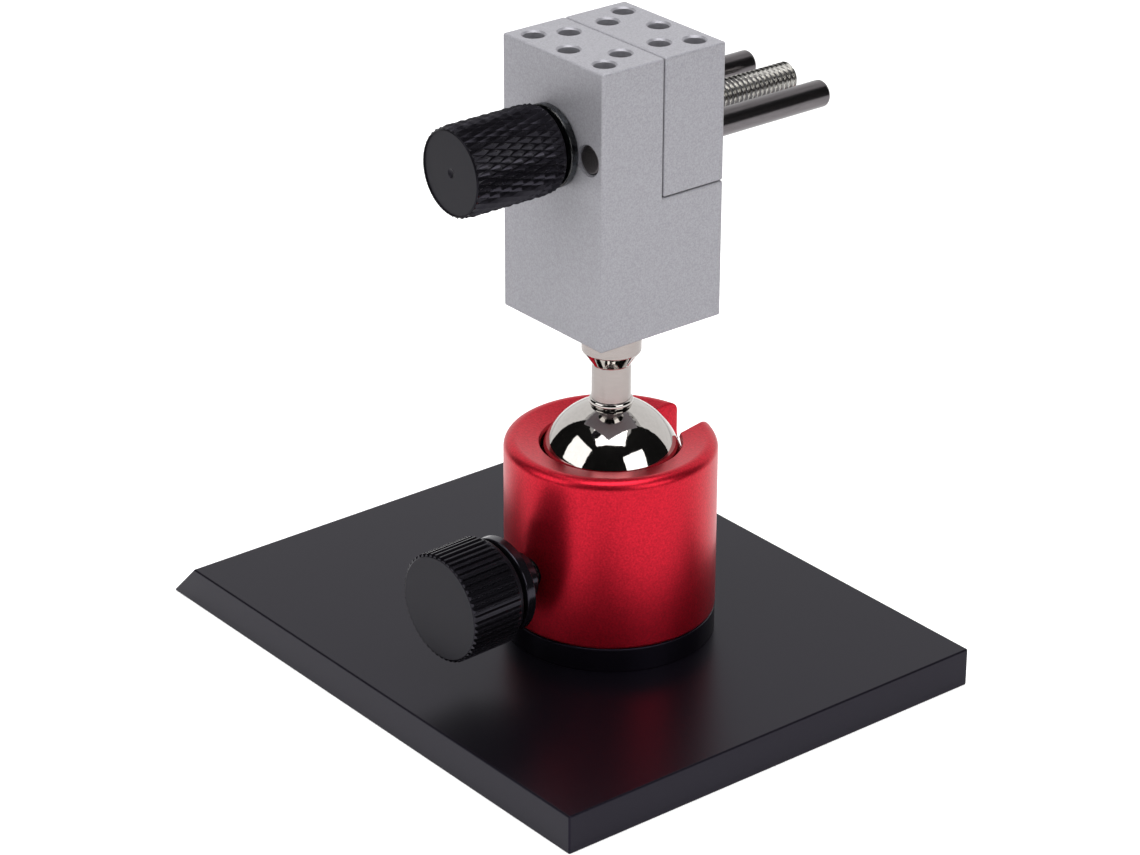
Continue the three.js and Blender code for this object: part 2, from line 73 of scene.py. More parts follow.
# Clearances round a fixed piece and round a turning or threaded one
PART_GAP = 0.3 * MM
RUNNING_GAP = 0.15 * MM
# The smallest rounding of an edge
FINE_EDGE = 0.15 * MM
# How far the points that keep a flat face flat stand from a fillet, and the play in a test of places
GUARD = 0.05 * MM
# Points closer than this are merged, and a radius or width under the second counts as none
WELD = 0.001 * MM
TINY = 0.0001 * MM
# The edge of a screw's end as a share of its radius, and of a flat washer as a share of its thickness
END_SHARE = 1 / 6
WASHER_SHARE = 1 / 5
# Half the flat on a thread's crest or root, as a share of the pitch
THREAD_FLAT = 0.06
# Where nearly all of a noise texture's values lie
NOISE_SPAN = (0.3, 0.7)
# Swaps X and Y
SWAP = Matrix(((0, 1, 0, 0), (1, 0, 0, 0), (0, 0, 1, 0), (0, 0, 0, 1)))


# Settings

def linear(hex_colour):
    """A linear RGBA colour from an sRGB hex value."""
    shares = [int(hex_colour[i:i + 2], 16) / 255 for i in (1, 3, 5)]
    return tuple(s / 12.92 if s <= 0.04045 else ((s + 0.055) / 1.055) ** 2.4 for s in shares) + (1.0,)


def length(name, description, millimetres):
    return FloatProperty(name=name, description=description, default=millimetres * MM, min=0, precision=5,
                         unit="LENGTH")


def number(name, description, default):
    return IntProperty(name=name, description=description, default=default, min=2, max=90)


def share(name, description, default):
    return FloatProperty(name=name, description=description, default=default, min=0.05, max=0.95)


def colour(name, description, hex_colour):
    return FloatVectorProperty(name=name, description=description, default=linear(hex_colour), min=0, max=1,
                               size=4, subtype="COLOR")


class PlateSettings(bpy.types.PropertyGroup):
    bevel_run: length("Bevel run", "Width of the 45 degree bevel along the far edge", 8)
    edge_round: length("Edge round", "Radius that breaks the plate's edges", 0.35)
    screw_radius: length("Screw radius", "Shank radius of the screw under the plate", 3)
    screw_head: length("Screw head height", "Height of the screw's head", 3.6)
    hex_size: length("Hex corner radius", "Corner radius of the screw's hex socket", 2.9)
    hex_depth: length("Hex depth", "Depth of the screw's hex socket", 2.4)
    cap_edge: length("Foot ring edge", "Radius round the top of the black foot ring", 0.3)
    cap_flange: length("Foot ring height", "Height of the foot ring under the housing", 5)
    colour: colour("Plate", "Black anodised plate and foot ring", "#0A080D")


class HousingSettings(bpy.types.PropertyGroup):
    fillet: length("Fillet", "Radius round the top of the housing", 2)
    rim_radius: length("Rim radius", "Inner radius of the rim over the ball", 14)
    rim_dish: length("Rim dish", "How far the rim's face rises from its inner edge", 1)
    rim_edge: length("Rim edge", "Chamfer inside the rim", 0.3)
    foot_edge: length("Foot edge", "Radius round the foot of the housing", 0.6)
    slot_radius: length("Slot radius", "Half the width of the drop slot", 5.2)
    slot_edge: length("Slot edge", "Radius that breaks the slot's edges", 0.3)
    slot_azimuth: FloatProperty(name="Slot azimuth", description="Direction of the drop slot",
                                default=math.radians(-3), subtype="ANGLE")
    colour: colour("Housing", "Red anodised housing", "#C1192D")


class StemSettings(bpy.types.PropertyGroup):
    bead_radius: length("Bead radius", "Radius of the bead between ball and neck", 4.3)
    bead_length: length("Bead length", "Length of the bead and its fillet", 1.4)
    neck_radius: length("Neck radius", "Radius of the neck", 3.83)
    neck_top: length("Neck top", "Height of the flare's foot above the ball's centre", 22.1)
    flare_height: length("Flare height", "Height of the flare between neck and flange", 2.8)
    flare_fillet: length("Flare fillet", "Radius between neck and flare", 0.8)
    flange_radius: length("Flange radius", "Radius of the flange in the block", 5.8)
    flange_edge: length("Flange edge", "Radius round the flange's edge", 0.5)
    stud_radius: length("Stud radius", "Radius of the stud in the block", 2.9)
    stud_length: length("Stud length", "Length of the stud in the block", 11)


class JawSettings(bpy.types.PropertyGroup):
    edge_round: length("Edge round", "Radius that breaks the blocks' edges", 0.45)
    seam: length("Seam", "Gap between the closed jaws", 0.2)
    pin_radius: length("Pin hole radius", "Radius of the pin holes", 2.05)
    pin_depth: length("Pin hole depth", "Depth of the pin holes", 10)
    pin_sink: length("Pin hole sink", "Chamfer round each pin hole", 0.35)
    outer_inset: length("Outer row inset", "Outer pin row, from a jaw's end face", 3.9)
    outer_spacing: length("Outer row spacing", "Spacing of the three outer pin holes", 10.3)
    inner_inset: length("Inner row inset", "Inner pin row, from a jaw's end face", 10)
    inner_spacing: length("Inner row spacing", "Spacing of the two inner pin holes", 14.9)
    bore_gap: length("Bore gap", "Clearance round the rods and the screw", 0.15)
    mouth_step: length("Mouth step", "How much wider the rods' bores are at the knob's side", 0.28)
    mouth_depth: length("Mouth depth", "Depth of the bores' wider mouths", 0.6)
    pocket_radius: length("Ring pocket radius", "Radius of the retaining ring's pocket", 5.5)
    pocket_depth: length("Ring pocket depth", "Depth of the retaining ring's pocket", 2)
    colour: colour("Jaws", "Silver anodised jaws", "#A1A0A6")


class SlideSettings(bpy.types.PropertyGroup):
    rod_round: length("Rod end round", "Radius round the rods' free ends", 0.7)
    thread_pitch: length("Screw pitch", "Travel of the jaw for each turn", 1.15)
    thread_depth: length("Thread depth", "Depth of the lead screw's thread", 0.6)
    screw_edge: length("Screw end", "Chamfer on the screw's free end", 0.6)
    groove_depth: length("Groove depth", "Depth of the retaining ring's groove", 0.8)
    ring_mouth: length("Ring mouth", "Width of the retaining ring's opening", 3)
    washer_edge: length("Washer edge", "Radius round the clear washer", 0.3)


class JawKnobSettings(bpy.types.PropertyGroup):
    diamonds: number("Diamonds", "Diamonds round the knob", 37)
    rows: number("Rows", "Half-diamond rows along the knob", 8)
    depth: length("Knurl depth", "Depth of the diamond knurl", 0.5)
    tip_share: share("Tip share", "Size of each diamond's flat tip, as a share of the diamond", 0.1)
    edge: length("Face edge", "Chamfer round the knob's ends", 0.4)
    hub_radius: length("Hub radius", "Radius of the hub behind the knob", 6.5)
    hub_length: length("Hub length", "Length of the hub behind the knob", 1.3)
    dimple_radius: length("Dimple radius", "Radius of the centre mark in the knob's face", 0.9)
    dimple_depth: length("Dimple depth", "Depth of the centre mark in the knob's face", 0.5)
    colour: colour("Knobs", "Black anodised knobs and collar", "#0E0D10")


class LockSettings(bpy.types.PropertyGroup):
    ridges: number("Ridges", "Straight ridges round the lock knob", 50)
    depth: length("Ridge depth", "Depth between the ridges", 0.5)
    foot_share: share("Foot share", "Width of a ridge's foot, as a share of the pitch", 0.62)
    crest_share: share("Crest share", "Width of a ridge's crest, as a share of the pitch", 0.24)
    face_radius: length("Face radius", "Radius of the knob's flat face", 10.2)
    face_edge: length("Face edge", "Length of the chamfer round the face", 0.35)
    rear_edge: length("Rear edge", "Chamfer round the knob's rear", 0.3)
    rim_radius: length("Rim radius", "Radius of the smooth rim behind the ridges", 10.1)
    rim_length: length("Rim length", "Length of the smooth rim behind the ridges", 0.9)
    neck_radius: length("Neck radius", "Radius of the neck behind the knob", 8.6)
    neck_length: length("Neck length", "Length of the neck behind the knob", 1.3)
    collar_edge: length("Collar edge", "Radius round the collar", 0.3)
    collar_thickness: length("Collar thickness", "Thickness of the collar's flange", 2)
    hub_radius: length("Collar hub radius", "Radius of the collar's hub", 4.8)
    tip_radius: length("Stud tip radius", "Radius of the lock stud's tip", 0.8)
    cone_length: length("Stud cone length", "Length of the lock stud's cone", 1.67)
    thread_pitch: length("Stud pitch", "Pitch of the lock stud's thread", 1)
    thread_depth: length("Stud thread depth", "Depth of the lock stud's thread", 0.5)


class StageSettings(bpy.types.PropertyGroup):
    floor_size: length("Floor size", "Side of the square floor", 6000)
    lens: FloatProperty(name="Lens", description="Focal length on a 36 mm sensor, in millimetres",
                        default=115.05, min=1)
    floor: colour("Floor", "Matt pale floor", "#F4F4F4")


class ViseSettings(bpy.types.PropertyGroup):
    plate: PointerProperty(type=PlateSettings)
    housing: PointerProperty(type=HousingSettings)
    stem: PointerProperty(type=StemSettings)
    jaws: PointerProperty(type=JawSettings)
    slide: PointerProperty(type=SlideSettings)
    jaw_knob: PointerProperty(type=JawKnobSettings)
    lock: PointerProperty(type=LockSettings)
    stage: PointerProperty(type=StageSettings)


# Nodes and materials

def add_node(tree, kind, inputs=None, **settings):
    """Adds a node. Inputs are socket values, sockets that feed them, or nodes whose first output does."""
    node = tree.nodes.new(kind)
    for name, value in settings.items():
        setattr(node, name, value)
    for key, value in (inputs or {}).items():
        if isinstance(value, bpy.types.Node):
            value = value.outputs[0]
        if isinstance(value, bpy.types.NodeSocket):
            tree.links.new(value, node.inputs[key])
        else:
            node.inputs[key].default_value = value
    return node


def new_material(name, sockets):
    """A Principled material with those socket values."""
    material = bpy.data.materials.new(name)
    material.use_nodes = True
    shader = material.node_tree.nodes["Principled BSDF"]
    for key, value in sockets.items():
        shader.inputs[key].default_value = value
    return material


def add_grain(material, width, depth, fleck, stretch):
    """Dents of that width and depth all over, each lighter or darker by the fleck's share."""
    tree = material.node_tree
    shader = tree.nodes["Principled BSDF"]
    place = add_node(tree, "ShaderNodeTexCoord")
    sized = add_node(tree, "ShaderNodeMapping", {"Vector": place.outputs["Object"], "Scale": stretch})
    noise = add_node(tree, "ShaderNodeTexNoise", {"Vector": sized.outputs["Vector"], "Scale": 1 / width})
    height = noise.outputs["Fac"]
    bump = add_node(tree, "ShaderNodeBump", {"Height": height, "Distance": depth, "Strength": 1.0})
    tree.links.new(bump.outputs["Normal"], shader.inputs["Normal"])
    level = add_node(tree, "ShaderNodeMapRange", {
        "Value": height, "From Min": NOISE_SPAN[0], "From Max": NOISE_SPAN[1], "To Min": 1 - fleck,
        "To Max": 1 + fleck})
    base = shader.inputs["Base Color"]
    shade = add_node(tree, "ShaderNodeVectorMath", {
        "Vector": base.default_value[:3], "Scale": level.outputs[0]}, operation="SCALE")
    tree.links.new(shade.outputs["Vector"], base)


# How a grain is stretched on a piece: not at all, into scratches along X, or into rings round X or Z
EVEN, ALONG_X, ROUND_X, ROUND_Z = (1, 1, 1), (0.08, 1, 1), (1, 0.1, 0.1), (0.1, 0.1, 1)
# The faint violet sheen of a black dye
VIOLET = linear("#E6E0FA")

# Each row has the colour (or none, where a setting gives it), the grain's width and depth in millimetres, its
# fleck and its stretch, then metallic, roughness and the shader's other sockets. Real blasting and tool marks
# are 0.05 to 0.1 mm wide, which is too fine to show in a render, so they are drawn 0.3 mm wide or more.
FINISHES = {
    # Bead-blasted black anodising: a dark satin skin with broad soft reflections
    "satin_black_anodised": (None, 0.4, 0.003, 0.1, EVEN, 0.0, 0.3, {
        "Specular IOR Level": 0.2, "Specular Tint": linear("#DDD2FF")}),
    # Bead-blasted red anodising: metal under a clear dye, bright where it meets the light
    "blasted_red_anodised": (None, 0.4, 0.014, 0.2, EVEN, 0.85, 0.33),
    # Bead-blasted clear anodising: even pale grey with a fine sparkle
    "blasted_silver_anodised": (None, 0.32, 0.01, 0.13, EVEN, 0.45, 0.5),
    # The walls and sinks of drilled holes under the same anodising, with tool rings; they are a little
    # darker, as painted shade in the holes
    "drilled_aluminium_painted_shade": ("#96959B", 0.4, 0.006, 0.1, (0.2, 0.2, 1), 0.5, 0.45),
    # Black anodising on the knobs' faces and in their valleys: nearly matt
    "knurled_black_anodised": (None, 0.3, 0.003, 0.15, EVEN, 0.0, 0.34, {
        "Specular IOR Level": 0.19, "Specular Tint": VIOLET}),
    # Black anodising over cut teeth: glossier than the faces, so that their edges catch the light
    "cut_black_anodised": (None, 0.3, 0.006, 0.2, EVEN, 0.0, 0.22, {
        "Specular IOR Level": 0.28, "Specular Tint": VIOLET}),
    # Black anodising over a turned collar: the glossiest of the blacks, with fine rings
    "turned_black_anodised": (None, 0.3, 0.004, 0.15, ROUND_X, 0.0, 0.15, {
        "Specular IOR Level": 0.42, "Specular Tint": VIOLET}),
    # Bright nickel on a polished ball: a clear, slightly warm mirror with a trace of polishing waves
    "bright_nickel_plating": ("#BDB9B5", 0.9, 0.008, 0.03, EVEN, 1.0, 0.05),
    # Nickel over fine turning marks on the neck: a soft sheen with rings round it
    "satin_nickel_plating": ("#A39B98", 0.3, 0.002, 0.04, ROUND_Z, 1.0, 0.24),
    # Ground stainless rod: a soft mirror with fine scratches along it
    "ground_stainless_steel": ("#6D696B", 0.3, 0.005, 0.12, ALONG_X, 1.0, 0.22),
    # The rods' sawn and faced ends: duller and darker than the ground sides
    "faced_steel_end": ("#5E5A5C", 0.35, 0.006, 0.15, EVEN, 1.0, 0.42),
    # Bright zinc on a cut thread: crisp flanks that each catch one reflection
    "bright_zinc_plated_steel": ("#AAA8A4", 0.3, 0.003, 0.08, EVEN, 1.0, 0.2),
    # Steel on a cut thread, lightly oiled, painted near black: painted shade, as the stud sits in deep shade
    # under the lock knob
    "shade_dark_thread_steel": ("#2E2E30", 0.3, 0.003, 0.12, EVEN, 1.0, 0.32),
    # Plain spring steel: dull grey with a slight oil sheen
    "oiled_spring_steel": ("#8E8E92", 0.5, 0.004, 0.12, EVEN, 1.0, 0.38),
    # Turned aluminium: pale metal with fine tool rings
    "turned_aluminium": ("#C6C7CA", 0.3, 0.006, 0.06, ROUND_Z, 1.0, 0.32),
    # Natural nylon: waxy white and faintly mottled, with light that sinks in a little
    "natural_nylon": ("#E8E4DA", 1.2, 0.005, 0.04, EVEN, 0.0, 0.5, {
        "Subsurface Weight": 0.1, "Subsurface Scale": 1 * MM}),
    # Clear moulded washer, cloudy: lets light through and glints at its edge. Its smoky dark tint and strong
    # mottle are painted reflection of the dark knob beside it
    "cloudy_clear_plastic": ("#33363B", 0.7, 0.06, 0.5, EVEN, 0.0, 0.14, {
        "IOR": 1.49, "Transmission Weight": 0.95}),
}


def finish(name, shade=None):
    """The finish of that name, in its own colour or in a setting's."""
    material = bpy.data.materials.get(name)
    if not material:
        own, width, depth, fleck, stretch, metallic, roughness, *others = FINISHES[name]
        material = new_material(name, {"Base Color": shade or linear(own), "Metallic": metallic,
                                       "Roughness": roughness, **dict(*others)})
        add_grain(material, width * MM, depth * MM, fleck, stretch)
    return material


# Places in the frame

def axis_place(origin, azimuth=None):
    """A matrix whose local Z is an axis: upright, or level and pointing along the azimuth."""
    place = Matrix.Translation(origin)
    if azimuth is None:
        return place
    return place @ Matrix.Rotation(azimuth, 4, "Z") @ Matrix.Rotation(math.pi / 2, 4, "Y")


def middle(node):
    low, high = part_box(node)
    return (low + high) / 2


def head_axis():
    centre = middle("base_cap")
    return axis_place((centre.x, centre.y, 0))


def slide_axis():
    centre = middle("jaw_knob")
    return axis_place((middle("jaw_body").x, centre.y, centre.z), 0.0)


def ball_centre(head):
    """The height of the ball's centre."""
    low, _, radius = reach("ball_stem", head)
    ball = [v.co for v in frame["nodes"]["ball_stem"].data.vertices if v.co.z < low + radius]
    return low + max(off_axis(place, head) for place in ball)


def lock_axis():
    head, knob = middle("base_cap"), middle("lock_knob")
    azimuth = math.atan2(knob.y - head.y, knob.x - head.x)
    return axis_place((head.x, head.y, knob.z), azimuth)


def off_axis(place, axis):
    """How far a place is from an axis."""
    return (axis.inverted() @ place).xy.length


def reach(node, axis):
    """A node's lowest and highest place along an axis, and its widest radius round it."""
    inverse = axis.inverted()
    points = [inverse @ vertex.co for vertex in frame["nodes"][node].data.vertices]
    heights = [point.z for point in points]
    return min(heights), max(heights), max(point.xy.length for point in points)


# Meshes

def new_piece(name, points, faces):
    mesh = bpy.data.meshes.new(name)
    mesh.from_pydata(points, [], faces)
    mesh.update()
    piece = bpy.data.objects.new(name, mesh)
    bpy.context.scene.collection.objects.link(piece)
    return piece


def arc(centre, radius, start, end, steps):
    """(radius, height) points of an arc, between two angles from level."""
    angles = [start + (end - start) * i / steps for i in range(steps + 1)]
    return [(centre[0] + radius * math.cos(a), centre[1] + radius * math.sin(a)) for a in angles]


def rounded(corners, steps=5, closed=False):
    """Profile points from (radius, height, fillet) corners, with a point just before and after each fillet so
    that flats stay flat when shaded smooth. A corner with no fillet may leave it out."""
    points = []
    for i, corner in enumerate(corners):
        here = Vector(corner[:2])
        fillet = corner[2] if len(corner) > 2 else 0
        if not fillet or (not closed and i in (0, len(corners) - 1)):
            points.append(tuple(here))
            continue
        back = (Vector(corners[i - 1][:2]) - here).normalized()
        ahead = (Vector(corners[(i + 1) % len(corners)][:2]) - here).normalized()
        half = back.angle(ahead) / 2
        run = fillet / math.tan(half)
        centre = here + (back + ahead).normalized() * fillet / math.sin(half)
        first, last = here + back * run - centre, here + ahead * run - centre
        turn = first.angle_signed(last)
        points.append(tuple(here + back * (run + GUARD)))
        for k in range(steps + 1):
            spoke = Matrix.Rotation(-turn * k / steps, 2) @ first
            points.append(tuple(centre + spoke))
        points.append(tuple(here + ahead * (run + GUARD)))
    return points


def lathe(name, profile, axis, sides=96, closed=False):
    """A turned piece from (radius, height) points with the solid on their left, and poles on the axis."""
    points, rings = [], []
    for radius, height in profile:
        count = sides if radius > TINY else 1
        rings.append(range(len(points), len(points) + count))
        for k in range(count):
            angle = 2 * math.pi * k / sides
            points.append(axis @ Vector((radius * math.cos(angle), radius * math.sin(angle), height)))
    faces = []
    pairs = list(zip(rings, rings[1:])) + ([(rings[-1], rings[0])] if closed else [])
    for low, high in pairs:
        for k in range(sides):
            n = (k + 1) % sides
            corners = [low[k % len(low)], low[n % len(low)], high[n % len(high)], high[k % len(high)]]
            unique = list(dict.fromkeys(corners))
            if len(unique) > 2:
                faces.append(unique)
    return new_piece(name, points, faces)


def walls(count):
    """The faces between two outlines of that many points."""
    return [(i, (i + 1) % count, (i + 1) % count + count, i + count) for i in range(count)]


def prism(name, outline, low, high):
    """An upright wall round an (x, z) outline, from one Y to another, with both ends closed."""
    count = len(outline)
    points = [(x, y, z) for y in (low, high) for x, z in outline]
    ends = [tuple(reversed(range(count))), tuple(range(count, 2 * count))]
    piece = new_piece(name, points, walls(count) + ends)
    face_outwards(piece)
    return piece


def face_outwards(piece):
    work = bmesh.new()
    work.from_mesh(piece.data)
    bmesh.ops.recalc_face_normals(work, faces=work.faces)
    work.to_mesh(piece.data)
    work.free()


def settle(piece):
    """Replaces a piece's mesh with what its modifiers make of it, and removes them."""
    result = piece.evaluated_get(bpy.context.evaluated_depsgraph_get())
    mesh = bpy.data.meshes.new_from_object(result)
    piece.modifiers.clear()
    old, piece.data = piece.data, mesh
    name = old.name
    bpy.data.meshes.remove(old)
    mesh.name = name
    return piece


def cut(piece, *cutters):
    """Takes the cutters out of a piece. The cut faces keep the cutters' materials."""
    for cutter in cutters:
        modifier = piece.modifiers.new("cut", "BOOLEAN")
        modifier.operation = "DIFFERENCE"
        modifier.solver = "EXACT"
        modifier.material_mode = "TRANSFER"
        modifier.object = cutter
        settle(piece)
        bpy.data.objects.remove(cutter)
    return piece


def break_edges(piece, radius, segments=4, weighted=False):
    modifier = piece.modifiers.new("break", "BEVEL")
    modifier.width = radius
    modifier.segments = segments
    modifier.limit_method = "WEIGHT" if weighted else "ANGLE"
    modifier.angle_limit = BREAK_ANGLE
    return settle(piece)


def join(piece, *others):
    """Moves the other pieces' meshes into the first, as shells of one piece."""
    work = bmesh.new()
    for part in (piece, *others):
        work.from_mesh(part.data)
    work.to_mesh(piece.data)
    work.free()
    for part in others:
        bpy.data.objects.remove(part)
    return piece


def shade_round(piece):
    piece.data.shade_smooth()
    piece.data.set_sharp_from_angle(angle=SHARP_ANGLE)
    return piece


def hand_over(piece, node, material):
    """Gives a finished piece its material, unless it has one, puts it on its CAD node's body and hides the
    node.
    """
    mesh = piece.data
    if not any(mesh.materials):
        mesh.materials.clear()
        mesh.materials.append(material)
        mesh.polygons.foreach_set("material_index", [0] * len(mesh.polygons))
    body = next(name for name, nodes in frame["record"]["behaviour"]["bodies"].items() if node in nodes)
    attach(piece, body)
    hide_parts(node)


def repaint(piece, material, test):
    """Gives the faces that pass the test another finish."""
    piece.data.materials.append(material)
    for face in piece.data.polygons:
        if test(face.center):
            face.material_index = len(piece.data.materials) - 1


# Geometry Nodes

def new_tree(name, **inputs):
    """A geometry tree with a geometry socket each way and one named input for each keyword's socket kind."""
    tree = bpy.data.node_groups.new(name, "GeometryNodeTree")
    tree.interface.new_socket("Geometry", in_out="INPUT", socket_type="NodeSocketGeometry")
    tree.interface.new_socket("Geometry", in_out="OUTPUT", socket_type="NodeSocketGeometry")
    for label, kind in inputs.items():
        tree.interface.new_socket(label, in_out="INPUT", socket_type="NodeSocket" + kind)
    return tree, tree.nodes.new("NodeGroupInput").outputs


def end_tree(tree, geometry, material):
    """Ends a tree as real mesh with its material set."""
    real = add_node(tree, "GeometryNodeRealizeInstances", {"Geometry": geometry})
    painted = add_node(tree, "GeometryNodeSetMaterial", {"Geometry": real, "Material": material})
    add_node(tree, "NodeGroupOutput", {"Geometry": painted})


def grow(piece, tree, **values):
    """Runs a tree on a piece with those input values, and keeps the mesh."""
    modifier = piece.modifiers.new(tree.name, "NODES")
    modifier.node_group = tree
    sockets = {item.name: item.identifier for item in tree.interface.items_tree if item.in_out == "INPUT"}
    for label, value in values.items():
        modifier[sockets[label]] = value
    settle(piece)
    piece.data.transform(piece.matrix_world)
    return piece


def thread_tree():
    """A threaded bar along Z: a grid wrapped round the axis whose radius rises and falls with the turn. Its
    first and last rows have no radius, so that both ends are closed."""
    tree, given = new_tree("thread", Radius="Float", Depth="Float", Pitch="Float", Start="Float",
                           Length="Float", End="Float", Rows="Int", Columns="Int", Material="Material")
    grid = add_node(tree, "GeometryNodeMeshGrid", {
        "Size X": given["Length"], "Size Y": 1.0, "Vertices X": given["Rows"],
        "Vertices Y": given["Columns"]})
    place = add_node(tree, "GeometryNodeInputPosition")
    split = add_node(tree, "ShaderNodeSeparateXYZ", {0: place})
    half = add_node(tree, "ShaderNodeMath", {0: given["Length"], 1: 0.5}, operation="MULTIPLY")
    along = add_node(tree, "ShaderNodeMath", {0: split.outputs["X"], 1: half}, operation="ADD")
    left = add_node(tree, "ShaderNodeMath", {0: given["Length"], 1: along}, operation="SUBTRACT")
    turns = add_node(tree, "ShaderNodeMath", {0: along, 1: given["Pitch"]}, operation="DIVIDE")
    phase = add_node(tree, "ShaderNodeMath", {0: turns, 1: split.outputs["Y"]}, operation="SUBTRACT")
    wave = add_node(tree, "ShaderNodeMath", {0: phase, 1: 0.5}, operation="PINGPONG")
    valley = add_node(tree, "ShaderNodeMath", {0: given["Radius"], 1: given["Depth"]}, operation="SUBTRACT")
    flank = add_node(tree, "ShaderNodeMapRange", {
        "Value": wave, "From Min": THREAD_FLAT, "From Max": 0.5 - THREAD_FLAT, "To Min": valley.outputs[0],
        "To Max": given["Radius"]})
    tip = add_node(tree, "ShaderNodeMath", {0: given["Radius"], 1: given["End"]}, operation="SUBTRACT")
    chamfer = add_node(tree, "ShaderNodeMath", {0: tip, 1: left}, operation="ADD")
    thread = add_node(tree, "ShaderNodeMath", {0: flank, 1: chamfer}, operation="MINIMUM")
    begun = add_node(tree, "ShaderNodeMath", {0: along, 1: 1 / WELD}, operation="MULTIPLY", use_clamp=True)
    ended = add_node(tree, "ShaderNodeMath", {0: left, 1: 1 / WELD}, operation="MULTIPLY", use_clamp=True)
    inside = add_node(tree, "ShaderNodeMath", {0: begun, 1: ended}, operation="MULTIPLY")
    radius = add_node(tree, "ShaderNodeMath", {0: thread, 1: inside}, operation="MULTIPLY")
    level = add_node(tree, "ShaderNodeMath", {0: given["Start"], 1: along}, operation="ADD")
    spoke = add_node(tree, "ShaderNodeCombineXYZ", {0: radius, 2: level})
    angle = add_node(tree, "ShaderNodeMath", {0: split.outputs["Y"], 1: 2 * math.pi}, operation="MULTIPLY")
    wrapped = add_node(tree, "ShaderNodeVectorRotate", {"Vector": spoke, "Angle": angle},
                       rotation_type="Z_AXIS")
    placed = add_node(tree, "GeometryNodeSetPosition", {"Geometry": grid, "Position": wrapped})
    closed = add_node(tree, "GeometryNodeMergeByDistance", {"Geometry": placed, "Distance": WELD})
    outwards = add_node(tree, "GeometryNodeFlipFaces", {"Mesh": closed})
    end_tree(tree, outwards, given["Material"])
    return tree


def ring_tree():
    """Copies of the given tooth round Z, in rows along it, with every other row half a tooth round."""
    tree, given = new_tree("teeth_round_axis", Count="Int", Rows="Int", Step="Float", Start="Float",
                           Material="Material")
    index = add_node(tree, "GeometryNodeInputIndex")
    half = add_node(tree, "ShaderNodeMath", {0: math.pi, 1: given["Count"]}, operation="DIVIDE")
    whole = add_node(tree, "ShaderNodeMath", {0: half, 1: 2.0}, operation="MULTIPLY")
    angle = add_node(tree, "ShaderNodeMath", {0: index, 1: whole}, operation="MULTIPLY")
    turn = add_node(tree, "ShaderNodeCombineXYZ", {2: angle})
    spin = add_node(tree, "FunctionNodeEulerToRotation", {0: turn})
    spokes = add_node(tree, "GeometryNodePoints", {"Count": given["Count"]})
    ring = add_node(tree, "GeometryNodeInstanceOnPoints", {
        "Points": spokes, "Instance": given["Geometry"], "Rotation": spin})
    odd = add_node(tree, "ShaderNodeMath", {0: index, 1: 1.0}, operation="PINGPONG")
    stagger = add_node(tree, "ShaderNodeMath", {0: odd, 1: half}, operation="MULTIPLY")
    lean = add_node(tree, "ShaderNodeCombineXYZ", {2: stagger})
    shift = add_node(tree, "FunctionNodeEulerToRotation", {0: lean})
    first = add_node(tree, "ShaderNodeCombineXYZ", {2: given["Start"]})
    step = add_node(tree, "ShaderNodeCombineXYZ", {2: given["Step"]})
    line = add_node(tree, "GeometryNodeMeshLine", {
        "Count": given["Rows"], "Start Location": first, "Offset": step})
    rows = add_node(tree, "GeometryNodeInstanceOnPoints", {
        "Points": line, "Instance": ring, "Rotation": shift})
    end_tree(tree, rows, given["Material"])
    return tree


def rows_tree():
    """Copies of the given cutter in two rows along Y, three in one and two in the other."""
    tree, given = new_tree("hole_rows", Outer_X="Float", Outer_Spacing="Float", Inner_X="Float",
                           Inner_Spacing="Float", Middle_Y="Float", Material="Material")
    both = add_node(tree, "GeometryNodeJoinGeometry")
    for side, holes_in_row in (("Outer", 3), ("Inner", 2)):
        spacing = given[side + "_Spacing"]
        first = add_node(tree, "ShaderNodeMath", {
            0: spacing, 1: (1 - holes_in_row) / 2, 2: given["Middle_Y"]}, operation="MULTIPLY_ADD")
        start = add_node(tree, "ShaderNodeCombineXYZ", {0: given[side + "_X"], 1: first})
        step = add_node(tree, "ShaderNodeCombineXYZ", {1: spacing})
        line = add_node(tree, "GeometryNodeMeshLine", {
            "Count": holes_in_row, "Start Location": start, "Offset": step})
        tree.links.new(line.outputs[0], both.inputs[0])
    holes = add_node(tree, "GeometryNodeInstanceOnPoints", {"Points": both, "Instance": given["Geometry"]})
    end_tree(tree, holes, given["Material"])
    return tree


def threaded(name, axis, material, radius, depth, pitch, start, end, chamfer, rows_a_turn=16, sides=64):
    """A threaded bar along an axis, from a start to an end."""
    rows = int((end - start) / pitch * rows_a_turn) + 2
    bar = new_piece(name, [], [])
    grow(bar, thread_tree(), Radius=radius, Depth=depth, Pitch=pitch, Start=start, Length=end - start,
         End=chamfer, Rows=rows, Columns=sides + 1, Material=material)
    bar.data.transform(axis)
    return bar


def tooth(name, *rings):
    """A tooth from rings of four corners, from its foot to its tip, with both ends closed."""
    points = [point for ring in rings for point in ring]
    last = len(points) - 4
    faces = [(3, 2, 1, 0), tuple(range(last, last + 4))]
    for base in range(0, last, 4):
        faces += [(base + i, base + (i + 1) % 4, base + 4 + (i + 1) % 4, base + 4 + i) for i in range(4)]
    return new_piece(name, points, faces)


# Pieces

